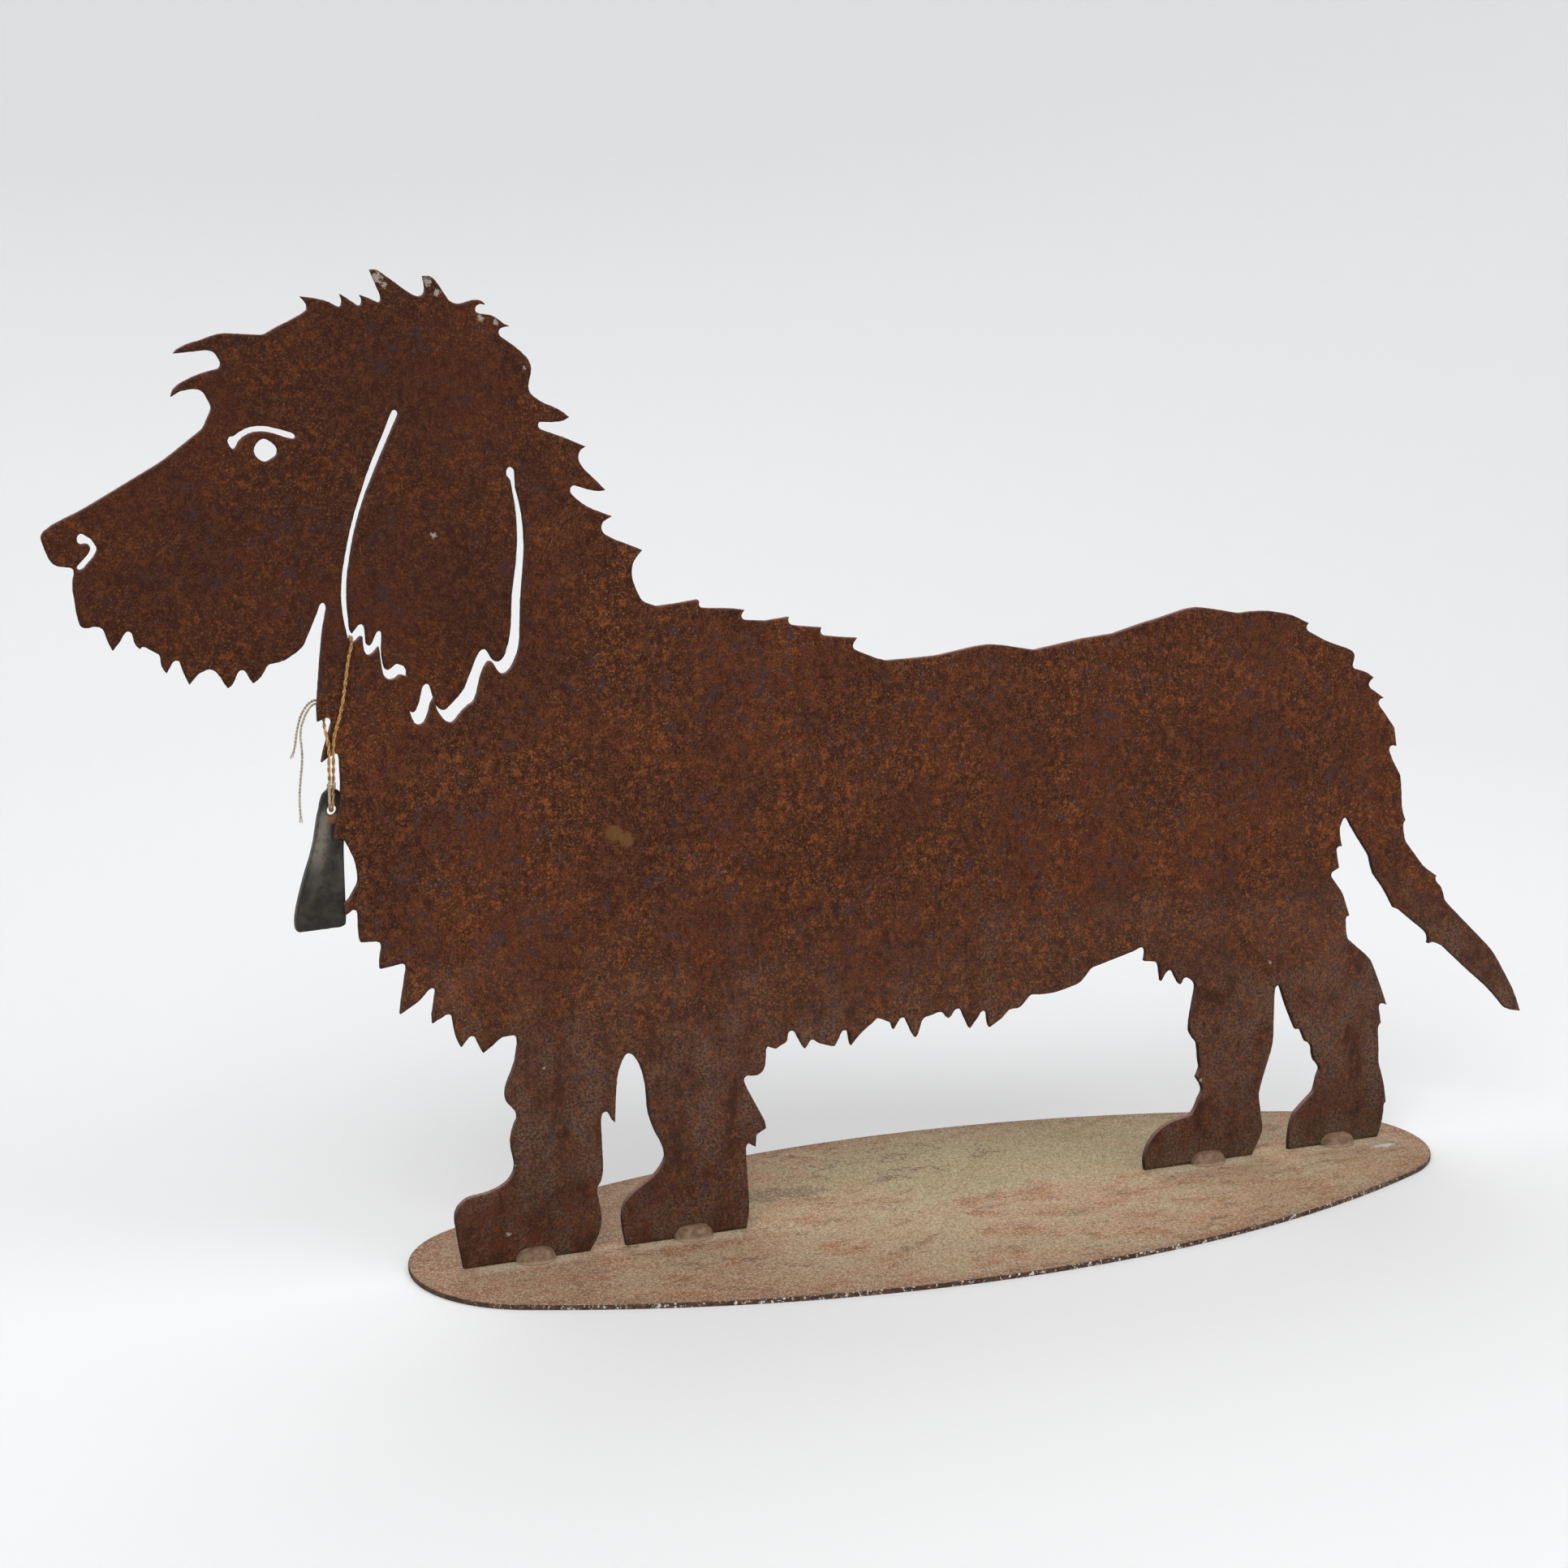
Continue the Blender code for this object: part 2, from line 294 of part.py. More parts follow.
EAR_REAR = [
    [(-281.4, 286.8), (-280.2, 285.6), (-278.6, 285.3), (-277, 286.2), (-274, 289), (-270.5, 292.5),
     (-268.5, 295), (-267, 298), (-265.3, 302.5), (-263.3, 307), (-261.5, 311), (-259.8, 313.3),
     (-258, 314), (-256.3, 313.2), (-255, 311.2), (-253.6, 308.8), (-252, 307.6), (-250, 307.8),
     (-248, 309.8), (-246.3, 314), (-244.9, 319), (-244.1, 325), (-243.8, 332), (-243.3, 340),
     (-242.2, 348), (-240.9, 356), (-240.3, 363), (-240.1, 370), (-240.4, 378), (-241.2, 385),
     (-242.4, 392), (-243.3, 396), (-244.9, 397.8), (-244.9, 400), (-243.8, 401.7),
     (-242.2, 401.7), (-240.6, 400.3), (-240.2, 398), (-240.1, 392), (-238.6, 386), (-237.2, 379),
     (-236.4, 371), (-236.2, 363), (-236.7, 355), (-237.6, 347), (-238.4, 338), (-238.8, 330),
     (-239, 322), (-239.5, 316), (-240.8, 310.7), (-243, 306), (-245.2, 302.9), (-247.4, 301.5),
     (-249.6, 301.7), (-251.4, 303.5), (-252.9, 306), (-254.2, 307.8), (-255.7, 307.8),
     (-257.6, 305.4), (-259.6, 300.7), (-260.6, 297), (-262.2, 291), (-263.6, 288.5),
     (-266.7, 286.5), (-270, 283.5), (-272.5, 280.4), (-274.5, 278.9), (-276.4, 279.2),
     (-278.5, 280.4), (-280.6, 283.2), (-282.3, 286.2), (-283.2, 289.6)],
]

# The pendant's outline, clockwise from its lower right corner, and its hole.
TAG_OUTLINE = [
    [(-339, 180.9), (-349, 180.5), (-351.8, 180.4), (-353.1, 181.3), (-353.6, 183.2),
     (-353.7, 186.2), (-352.9, 191.2), (-350.9, 199.2), (-348.2, 208.2), (-345.5, 216.2),
     (-343.4, 224.2), (-342.4, 230.2), (-341.6, 234.7), (-340.4, 240), (-339, 245.3),
     (-338, 247.3), (-336, 249), (-333.5, 249.6), (-330.9, 248.9), (-329, 246), (-328.3, 240),
     (-328.4, 230), (-329, 218), (-329, 200), (-329, 184), (-329.4, 182.3), (-330.8, 181.5)],
]
TAG_HOLE_AT = (-334.2, 239.2)

# Centres of the four welds along the soles, in millimetres.
WELDS = {"weld_fore_left": -237.2, "weld_fore_right": -151.0, "weld_hind_left": 162.0,
         "weld_hind_right": 249.2}

# The twine's routes, as (x, y, z) in millimetres, z above the soles.
KNOT_AT = (-336.5, 4.4, 291.5)
KNOT_SIZE = (4.8, 4.2, 4.4)


def on_dog(x, z):
    """A drawn point in metres, with the drawing stretched to the dog's length and height."""
    drawn = np.array([point for stroke in SILHOUETTE for point in stroke])
    left, right = drawn[:, 0].min(), drawn[:, 0].max()
    return (
        x * DOG_LENGTH / (right - left),
        BASE_SHEET + TOUCH_GAP + z * DOG_HEIGHT / drawn[:, 1].max(),
    )


def smooth(points, closed=False):
    """Points on the centripetal Catmull-Rom curve through the given ones."""
    given = np.array(points, float)
    if closed:
        given = np.vstack([given[-1], given, given[0], given[1]])
    else:
        given = np.vstack([2 * given[0] - given[1], given, 2 * given[-1] - given[-2]])
    found = []
    for i in range(1, len(given) - 2):
        p = given[i - 1:i + 3]
        gaps = np.sqrt(np.maximum(np.linalg.norm(np.diff(p, axis=0), axis=1), 1e-6))
        t = np.concatenate([[0.0], np.cumsum(gaps)])
        for step in range(STEPS_PER_SPAN):
            at = t[1] + gaps[1] * step / STEPS_PER_SPAN
            a = [((t[k + 1] - at) * p[k] + (at - t[k]) * p[k + 1]) / gaps[k] for k in range(3)]
            b = [((t[k + 2] - at) * a[k] + (at - t[k]) * a[k + 1]) / (t[k + 2] - t[k])
                 for k in range(2)]
            found.append(((t[2] - at) * b[0] + (at - t[1]) * b[1]) / gaps[1])
    if not closed:
        found.append(given[-2])
    return np.array(found)


def thinned(points, error):
    """The fewest of these points whose straight facets stay within the error of the curve."""
    keep = np.zeros(len(points), bool)
    keep[[0, -1]] = True
    stack = [(0, len(points) - 1)]
    while stack:
        first, last = stack.pop()
        if last - first < 2:
            continue
        chord = points[last] - points[first]
        rest = points[first + 1:last] - points[first]
        length = np.linalg.norm(chord)
        if length < 1e-9:
            off = np.linalg.norm(rest, axis=1)
        else:
            off = np.abs(rest[:, 0] * chord[1] - rest[:, 1] * chord[0]) / length
        if off.max() > error:
            middle = first + 1 + int(off.argmax())
            keep[middle] = True
            stack += [(first, middle), (middle, last)]
    return points[keep]


def cut_path(strokes):
    """A closed outline from strokes that meet at sharp points."""
    start = strokes[-1][-1]
    pieces = []
    for stroke in strokes:
        pieces.append(thinned(smooth([start] + list(stroke)), FACET_ERROR)[:-1])
        start = stroke[-1]
    return np.vstack(pieces)


def cut_ring(points):
    """A closed outline with no sharp point."""
    ring = smooth(points, closed=True)
    return thinned(np.vstack([ring, ring[:1]]), FACET_ERROR)[:-1]


def inside(points, loop):
    """Which of the points lie inside the closed outline, by counting crossings to the right."""
    x, z = points[:, :1], points[:, 1:]
    ax, az = loop[:, 0], loop[:, 1]
    bx, bz = np.roll(ax, -1), np.roll(az, -1)
    crosses = (az > z) != (bz > z)
    rise = np.where(bz == az, 1.0, bz - az)
    return (crosses & (x < (bx - ax) * (z - az) / rise + ax)).sum(axis=1) % 2 == 1


def face_triangles(loops):
    """Triangles that fill the first outline and leave out the others, over the same points."""
    points = np.vstack(loops)
    edges = []
    start = 0
    for loop in loops:
        count = len(loop)
        edges += [(start + k, start + (k + 1) % count) for k in range(count)]
        start += count
    result = delaunay_2d_cdt([Vector(p) for p in points], edges, [], 0, 1e-7)
    made = np.array([tuple(p) for p in result[0]])
    triangles = np.array([tuple(face) for face in result[2]])
    origin = np.array([sources[0] for sources in result[3]])
    middles = made[triangles].mean(axis=1)
    filled = inside(middles, loops[0])
    for hole in loops[1:]:
        filled &= ~inside(middles, hole)
    return origin[triangles[filled]]


def add_object(name, points, faces, material, turn_smooth=False):
    """One closed body with its faces turned outwards."""
    mesh = bpy.data.meshes.new(name)
    mesh.from_pydata([tuple(p) for p in points], [], [tuple(int(i) for i in f) for f in faces])
    shape = bmesh.new()
    shape.from_mesh(mesh)
    bmesh.ops.recalc_face_normals(shape, faces=shape.faces)
    if shape.calc_volume(signed=True) < 0:
        bmesh.ops.reverse_faces(shape, faces=shape.faces)
    for face in shape.faces:
        face.smooth = turn_smooth
    shape.to_mesh(mesh)
    shape.free()
    mesh.materials.append(material)
    thing = bpy.data.objects.new(name, mesh)
    bpy.context.collection.objects.link(thing)
    return thing


def make_material(name, colour, roughness, metallic):
    """A Principled material of one colour."""
    material = bpy.data.materials.new(name)
    material.use_nodes = True
    shader = material.node_tree.nodes["Principled BSDF"]
    shader.inputs["Base Color"].default_value = (*colour, 1.0)
    shader.inputs["Roughness"].default_value = roughness
    shader.inputs["Metallic"].default_value = metallic
    return material


def sheet(loops, front, back):
    """The faces of a flat sheet between two depths, upright in the dog's plane."""
    flat = np.vstack(loops)
    count = len(flat)
    near = np.column_stack([flat[:, 0], np.full(count, front), flat[:, 1]])
    far = near + np.array([0.0, back - front, 0.0])
    caps = face_triangles(loops)
    faces = [tuple(face) for face in caps] + [tuple(face[::-1] + count) for face in caps]
    start = 0
    for loop in loops:
        size = len(loop)
        for k in range(size):
            here, there = start + k, start + (k + 1) % size
            faces += [(here, there, there + count), (here, there + count, here + count)]
        start += size
    return np.vstack([near, far]), faces


def dog_plate(material):
    """The dog: the silhouette with its six cut-outs, as one upright sheet."""
    holes = [cut_path(EAR_FRONT), cut_path(EAR_FRINGE), cut_path(EAR_REAR)]
    holes += [cut_ring(EYE), cut_ring(BROW), cut_ring(NOSTRIL)]
    loops = []
    for loop in [cut_path(SILHOUETTE)] + holes:
        x, z = on_dog(loop[:, 0], loop[:, 1])
        loops.append(np.column_stack([x, z]))
    points, faces = sheet(loops, -DOG_SHEET / 2, DOG_SHEET / 2)
    add_object("dog_plate", points, faces, material)


def base_plate(material):
    """The base: an oval of four arcs, flat on the floor."""
    half_length, half_width = BASE_LENGTH / 2, BASE_WIDTH / 2
    reach = half_length - BASE_END_RADIUS
    flank_radius = (reach ** 2 + half_width ** 2 - BASE_END_RADIUS ** 2) / (
        2 * (half_width - BASE_END_RADIUS))
    meet = math.atan2(flank_radius - half_width, reach)
    quarter = []
    for k in range(14):
        turn = meet * k / 14
        quarter.append((reach + BASE_END_RADIUS * math.cos(turn), BASE_END_RADIUS * math.sin(turn)))
    for k in range(19):
        turn = meet + (math.pi / 2 - meet) * k / 18
        quarter.append((flank_radius * math.cos(turn),
                        half_width - flank_radius + flank_radius * math.sin(turn)))
    quarter = np.array(quarter)
    half = np.vstack([quarter, quarter[-2::-1] * np.array([-1.0, 1.0])])
    oval = np.vstack([half, half[-2:0:-1] * np.array([1.0, -1.0])])
    count = len(oval)
    lower = np.column_stack([oval, np.zeros(count)])
    upper = np.column_stack([oval, np.full(count, BASE_SHEET)])
    faces = [tuple(range(count)), tuple(range(2 * count - 1, count - 1, -1))]
    faces += [(k, (k + 1) % count, (k + 1) % count + count, k + count) for k in range(count)]
    add_object("base_plate", np.vstack([lower, upper]), faces, material)


def weld_bead(name, centre, material):
    """A low puddle of weld in the corner between a sole and the base, on the shown side."""
    along, around = 16, 6
    corner_y = -DOG_SHEET / 2 - TOUCH_GAP
    corner_z = BASE_SHEET + TOUCH_GAP
    rows = []
    for i in range(along + 1):
        share = -1 + 2 * i / along
        grown = math.sqrt(1 - 0.94 * abs(share) ** 2.6)
        sag = 1 - 0.05 * math.cos(math.pi * share)
        row = [(corner_y, corner_z)]
        for k in range(around + 1):
            turn = math.pi / 2 * k / around
            row.append((corner_y - WELD_REACH * grown * math.sin(turn) ** 0.8,
                        corner_z + WELD_RISE * grown * sag * max(math.cos(turn), 0.0) ** 0.9))
        rows.append([(centre * MM + share * WELD_WIDTH / 2, y, z) for y, z in row])
    size = around + 2
    points = [point for row in rows for point in row]
    faces = [tuple(range(size)), tuple(along * size + k for k in range(size))[::-1]]
    for i in range(along):
        for k in range(size):
            here, there = i * size + k, i * size + (k + 1) % size
            faces.append((here, there, there + size, here + size))
    add_object(name, points, faces, material, turn_smooth=True)


def tag(material):
    """The pendant: a worn blade with rounded edges and a flared hole, close behind the dog."""
    ring = cut_ring(TAG_OUTLINE[0])
    step = np.roll(ring, -1, axis=0) - np.roll(ring, 1, axis=0)
    inward = np.column_stack([step[:, 1], -step[:, 0]])
    inward /= np.linalg.norm(inward, axis=1)[:, None]
    centre = ring.mean(axis=0)
    if ((centre - ring) * inward).sum() < 0:
        inward = -inward
    front = DOG_SHEET / 2 + TAG_STANDOFF
    turns = [math.pi / 2 * k / 3 for k in range(4)]
    layers = []
    edge, half = TAG_EDGE_RADIUS, TAG_SHEET / 2
    for turn in turns:
        layers.append((edge * (1 - math.sin(turn)), front + edge * (1 - math.cos(turn))))
    for turn in turns[::-1]:
        layers.append((edge * (1 - math.sin(turn)), front + 2 * half - edge * (1 - math.cos(turn))))
    hole_at = np.array(TAG_HOLE_AT)
    sides = 24
    circle = np.array([(math.cos(2 * math.pi * k / sides), math.sin(2 * math.pi * k / sides))
                       for k in range(sides)])
    hole_layers = [
        (TAG_HOLE / 2 + TAG_HOLE_FLARE, front),
        (TAG_HOLE / 2, front + TAG_HOLE_FLARE),
        (TAG_HOLE / 2, front + TAG_SHEET - TAG_HOLE_FLARE),
        (TAG_HOLE / 2 + TAG_HOLE_FLARE, front + TAG_SHEET),
    ]
    outer = [(ring + inward * inset / MM, y) for inset, y in layers]
    inner = [(hole_at + circle * radius / MM, y) for radius, y in hole_layers]
    count = len(ring)
    points = []
    for flat, y in outer + inner:
        x, z = on_dog(flat[:, 0], flat[:, 1])
        points.append(np.column_stack([x, np.full(len(flat), y), z]))
    starts = np.cumsum([0] + [len(p) for p in points])
    faces = []
    for first, layer_count, size in ((0, len(outer), count), (len(outer), len(inner), sides)):
        for i in range(first, first + layer_count - 1):
            for k in range(size):
                here, there = starts[i] + k, starts[i] + (k + 1) % size
                below = starts[i + 1] - starts[i]
                faces.append((here, there, there + below, here + below))
    for outer_layer, inner_layer in ((0, len(outer)), (len(outer) - 1, len(points) - 1)):
        caps = face_triangles([points[outer_layer][:, [0, 2]], points[inner_layer][:, [0, 2]]])
        shifted = np.where(caps < count, caps + starts[outer_layer],
                           caps - count + starts[inner_layer])
        faces += [tuple(face) for face in shifted]
    add_object("tag", np.vstack(points), faces, material, turn_smooth=False)


def twine(name, route, diameter, material):
    """A length of twine along a route in millimetres, z above the soles."""
    line = smooth(route)
    reach = np.concatenate([[0.0], np.cumsum(np.linalg.norm(np.diff(line, axis=0), axis=1))])
    count = max(6, int(reach[-1] * MM / (1.6 * diameter)))
    even = np.linspace(0, reach[-1], count)
    line = np.column_stack([np.interp(even, reach, line[:, k]) for k in range(3)])
    curve = bpy.data.curves.new(name, "CURVE")
    curve.dimensions = "3D"
    curve.bevel_depth = diameter / 2
    curve.bevel_resolution = 2
    curve.use_fill_caps = True
    spline = curve.splines.new("POLY")
    spline.points.add(count - 1)
    for point, (x, y, z) in zip(spline.points, line):
        point.co = (x * MM, y * MM, BASE_SHEET + TOUCH_GAP + z * MM, 1.0)
    curve.materials.append(material)
    thing = bpy.data.objects.new(name, curve)
    bpy.context.collection.objects.link(thing)


def knot(material):
    """The knot behind the dog: a lumpy ball in which the twine's turns show as three ridges."""
    rings, sides = 12, 20
    points = []
    for i in range(rings + 1):
        polar = math.pi * i / rings
        for k in range(sides):
            turn = 2 * math.pi * k / sides
            ridge = 1 + 0.07 * math.cos(3 * turn + 4 * polar) * math.sin(polar)
            direction = (math.sin(polar) * math.cos(turn), math.sin(polar) * math.sin(turn),
                         math.cos(polar))
            points.append(tuple(
                (at + size / 2 * ridge * part) * MM
                for at, size, part in zip(KNOT_AT, KNOT_SIZE, direction)))
    points = [(x, y, z + BASE_SHEET + TOUCH_GAP) for x, y, z in points[sides - 1:-(sides - 1)]]
    faces = [(0, 1 + (k + 1) % sides, 1 + k) for k in range(sides)]
    for i in range(rings - 2):
        for k in range(sides):
            here, there = 1 + i * sides + k, 1 + i * sides + (k + 1) % sides
            faces.append((here, there, there + sides, here + sides))
    last = len(points) - 1
    faces += [(last, last - sides + k, last - sides + (k + 1) % sides) for k in range(sides)]
    add_object("twine_knot", points, faces, material, turn_smooth=True)


# Routes of the twine, as (x, y, z) in millimetres, z above the soles.
TWINE_FRONT = [
    (-334.9, 3.9, 294.7), (-333.2, 3.7, 298.0), (-330.6, 3.4, 305.0), (-327.3, 3.4, 313.0),
    (-324.6, 3.5, 318.6), (-323.7, 2.9, 321.6), (-323.4, 1.5, 322.9), (-323.4, -0.7, 323.0),
    (-323.5, -2.5, 321.9), (-323.9, -3.1, 319.4), (-324.8, -2.75, 315.6), (-325.9, -2.7, 310.0),
    (-327.0, -2.65, 303.0), (-328.3, -2.65, 295.0), (-329.8, -2.65, 288.0), (-331.8, -2.7, 281.0),
    (-333.3, -2.8, 276.0), (-333.9, -2.8, 271.5), (-334.1, -2.75, 267.5), (-334.2, -2.6, 262.0),
    (-334.3, -2.2, 256.0), (-334.3, -1.1, 251.5), (-334.3, -0.1, 247.0), (-334.2, 0.6, 243.8),
    (-334.2, 1.7, 240.9), (-334.2, 3.4, 239.2), (-334.2, 5.2, 238.8), (-334.2, 6.9, 239.2),
    (-334.25, 8.3, 240.9), (-334.35, 8.7, 243.2),
]
TWINE_BACK = [
    (-336.6, 4.2, 288.6), (-336.7, 4.0, 286.5), (-336.9, 3.1, 284.2), (-337.2, 1.2, 281.8),
    (-337.4, -1.0, 279.6), (-337.2, -2.5, 277.0), (-336.6, -2.85, 274.0), (-336.2, -2.8, 270.0),
    (-336.3, -2.7, 265.0), (-336.3, -2.2, 260.5), (-335.9, -0.8, 256.2), (-335.4, 1.6, 252.8),
    (-335.0, 4.4, 251.3), (-334.8, 7.0, 250.4), (-334.6, 8.6, 247.8), (-334.4, 8.7, 244.4),
]
TWINE_LONG = [
    (-339.6, 4.0, 291.3), (-341.6, 3.4, 291.0), (-343.6, 2.6, 289.6), (-346.0, 1.9, 286.2),
    (-347.8, 1.4, 282.0), (-348.8, 1.0, 277.5), (-348.6, 0.7, 272.0), (-348.4, 0.5, 267.0),
    (-348.9, 0.3, 261.0), (-350.0, 0.2, 252.0), (-350.4, 0.0, 244.0), (-350.1, -0.2, 235.5),
]
TWINE_SHORT = [
    (-339.2, 4.6, 293.0), (-341.4, 4.8, 292.6), (-344.0, 4.4, 291.0), (-346.9, 3.9, 287.4),
    (-348.8, 3.4, 283.0), (-350.1, 3.0, 278.0), (-351.0, 2.6, 273.0), (-352.2, 2.2, 268.5),
    (-353.4, 2.0, 266.2),
]


def main():
    """Builds the dog, its base and welds, and the pendant on its twine."""
    for thing in list(bpy.data.objects):
        bpy.data.objects.remove(thing, do_unlink=True)
    plate = make_material("rusted_steel_plate", (0.13, 0.075, 0.06), 0.72, 0.35)
    floor = make_material("dusty_steel_base", (0.30, 0.25, 0.20), 0.85, 0.2)
    bead = make_material("dusty_weld", (0.36, 0.33, 0.29), 0.8, 0.3)
    worn = make_material("worn_grey_tag", (0.16, 0.16, 0.14), 0.6, 0.4)
    fibre = make_material("jute_twine", (0.52, 0.34, 0.13), 0.9, 0.0)
    pale = make_material("faded_twine", (0.50, 0.46, 0.38), 0.9, 0.0)
    dog_plate(plate)
    base_plate(floor)
    for name, centre in WELDS.items():
        weld_bead(name, centre, bead)
    tag(worn)
    knot(fibre)
    twine("twine_front", TWINE_FRONT, TWINE, fibre)
    twine("twine_back", TWINE_BACK, TWINE, fibre)
    twine("twine_end_long", TWINE_LONG, TWINE_END, pale)
    twine("twine_end_short", TWINE_SHORT, TWINE_END, pale)


main()
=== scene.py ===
"""Looks of the standing steel dog: rusted sheet, dusty base, welds, pendant and twine."""

from __future__ import annotations

import logging
import math
from dataclasses import dataclass, field
from enum import Enum

import bmesh
import bpy
import numpy as np
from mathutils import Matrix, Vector
from mathutils.geometry import delaunay_2d_cdt


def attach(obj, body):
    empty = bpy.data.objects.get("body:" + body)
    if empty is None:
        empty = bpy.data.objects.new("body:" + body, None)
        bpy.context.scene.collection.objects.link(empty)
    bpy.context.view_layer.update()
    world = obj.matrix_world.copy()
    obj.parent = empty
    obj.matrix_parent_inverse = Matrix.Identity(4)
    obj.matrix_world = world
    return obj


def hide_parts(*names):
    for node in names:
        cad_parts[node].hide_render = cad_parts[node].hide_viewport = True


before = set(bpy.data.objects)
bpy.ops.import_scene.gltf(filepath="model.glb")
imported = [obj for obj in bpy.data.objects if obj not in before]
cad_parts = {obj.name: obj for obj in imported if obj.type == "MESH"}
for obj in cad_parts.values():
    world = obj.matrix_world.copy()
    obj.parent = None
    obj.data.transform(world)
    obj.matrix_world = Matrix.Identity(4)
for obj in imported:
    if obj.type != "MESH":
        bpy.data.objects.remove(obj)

LOG = logging.getLogger("steel_dog")
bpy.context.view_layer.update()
MM = 0.001
SOLE_HEIGHT = 0.0028  # the soles' height over the floor
DOG_HALF_SHEET = 0.0015
BASE_SHEET = 0.0025
ORIGIN = (0.0, 0.0, 0.0)
Colour = tuple[float, float, float]
Point = tuple[float, float, float]
Socket = bpy.types.NodeSocket
Input = Socket | float | tuple[float, float, float]


class Slot(Enum):
    """The record's material slots."""

    PLATE = "rusted_steel_plate"
    BASE = "dusty_steel_base"
    WELD = "dusty_weld"
    TAG = "worn_grey_tag"
    TWINE = "jute_twine"
    FADED = "faded_twine"


class End(Enum):
    """How a length of twine ends."""

    TIED = "object"
    FRAYED = "bare"


def linked(thing: bpy.types.Object) -> bpy.types.Object:
    """Puts an object into the scene and gives it back."""
    bpy.context.collection.objects.link(thing)
    return thing


@dataclass(frozen=True)
class Camera:
    """The viewpoint, in metres and degrees."""

    position: Point = (-0.6345, -1.2469, 0.4828)
    lens_mm: float = 61.49
    heading_deg: float = 23.258
    pitch_deg: float = 10.2

    def place(self) -> bpy.types.Object:
        """Adds the camera and makes it the scene's.

        Returns:
            The camera object.
        """
        data = bpy.data.cameras.new("viewpoint")
        data.lens = self.lens_mm
        data.sensor_width = 36.0
        camera = bpy.data.objects.new("viewpoint", data)
        camera.location = self.position
        camera.rotation_euler = (
            math.radians(90.0 - self.pitch_deg), 0.0, -math.radians(self.heading_deg))
        bpy.context.scene.camera = linked(camera)
        return camera


def unit(rows: np.ndarray) -> np.ndarray:
    """Each row divided by its own length.

    Args:
        rows: Vectors along the last axis.

    Returns:
        The same vectors, one long each.
    """
    return rows / np.maximum(np.linalg.norm(rows, axis=-1, keepdims=True), 1e-12)


def smooth_line(points: np.ndarray, step: float) -> np.ndarray:
    """A smooth curve: each span blends its four neighbours by the square root of their gaps.

    Args:
        points: The points the curve goes through.
        step: Spacing of the points returned.

    Returns:
        Points evenly spaced along the curve.
    """
    p = np.vstack([2 * points[0] - points[1], points, 2 * points[-1] - points[-2]])
    gap = np.sqrt(np.linalg.norm(np.diff(p, axis=0), axis=1))[:, None, None]
    p0, p1, p2, p3 = (p[k:len(p) - 3 + k, None, :] for k in range(4))
    g0, g1, g2 = gap[:-2], gap[1:-1], gap[2:]
    u = np.linspace(0.0, 1.0, 24, endpoint=False)[None, :, None]
    t1, t2, t3 = g0, g0 + g1, g0 + g1 + g2
    t = t1 + g1 * u
    a1 = ((t1 - t) * p0 + t * p1) / g0
    a2 = ((t2 - t) * p1 + (t - t1) * p2) / g1
    a3 = ((t3 - t) * p2 + (t - t2) * p3) / g2
    b1 = ((t2 - t) * a1 + t * a2) / (g0 + g1)
    b2 = ((t3 - t) * a2 + (t - t1) * a3) / (g1 + g2)
    line = (((t2 - t) * b1 + (t - t1) * b2) / g1).reshape(-1, points.shape[1])
    line = np.vstack([line, points[-1]])
    reach = run_along(line)
    even = np.linspace(0.0, reach[-1], max(2, int(reach[-1] / step) + 1))
    return np.column_stack([np.interp(even, reach, line[:, k]) for k in range(line.shape[1])])


def ripple(points: np.ndarray, wavelength: float, seed: int) -> np.ndarray:
    """Smooth noise between about -1 and 1: a mean of sine waves in random directions.

    Args:
        points: Places, one per row of the last axis.
        wavelength: The mean wave's length, in the points' unit.
        seed: Which noise.

    Returns:
        One value for each place.
    """
    chance = np.random.default_rng(seed)
    waves = unit(chance.normal(size=(9, points.shape[-1])))
    waves = waves * (2 * math.pi / wavelength * chance.uniform(0.6, 1.7, (9, 1)))
    phase = chance.uniform(0, 2 * math.pi, 9)
    return np.sin(points @ waves.T + phase).sum(axis=-1) / 4.2


def run_along(line: np.ndarray) -> np.ndarray:
    """How far along a line each of its points is."""
    return np.concatenate([[0.0], np.cumsum(np.linalg.norm(np.diff(line, axis=0), axis=1))])


def over_soles(points: np.ndarray) -> np.ndarray:
    """Points in millimetres over the soles, as metres over the floor."""
    points = points * MM
    points[..., 2] += SOLE_HEIGHT
    return points


def sides_of(line: np.ndarray) -> tuple[np.ndarray, np.ndarray, np.ndarray]:
    """A line's direction and two directions square to it.

    Args:
        line: Points along the line.

    Returns:
        Three unit vectors for each point.
    """
    ahead = unit(np.gradient(line, axis=0))
    lean = unit(np.array([0.62, 0.60, 0.50]))
    across = unit(lean - ahead * (ahead @ lean)[:, None])
    return ahead, across, np.cross(ahead, across)


def turns(sides: int) -> np.ndarray:
    """Even angles round a circle."""
    return np.linspace(0, 2 * math.pi, sides, endpoint=False)


def tube(line: np.ndarray, across: np.ndarray, beside: np.ndarray,
         radius: np.ndarray) -> np.ndarray:
    """Rings about a line: each point plus its radius times a turn of the two square directions.

    Args:
        line: Points along the line.
        across: A unit vector square to it at each point.
        beside: Another, square to both.
        radius: The radius by point and by side.

    Returns:
        Points by ring and by side.
    """
    angle = turns(radius.shape[1])[None, :, None]
    ring = np.cos(angle) * across[:, None, :] + np.sin(angle) * beside[:, None, :]
    return line[:, None, :] + radius[..., None] * ring


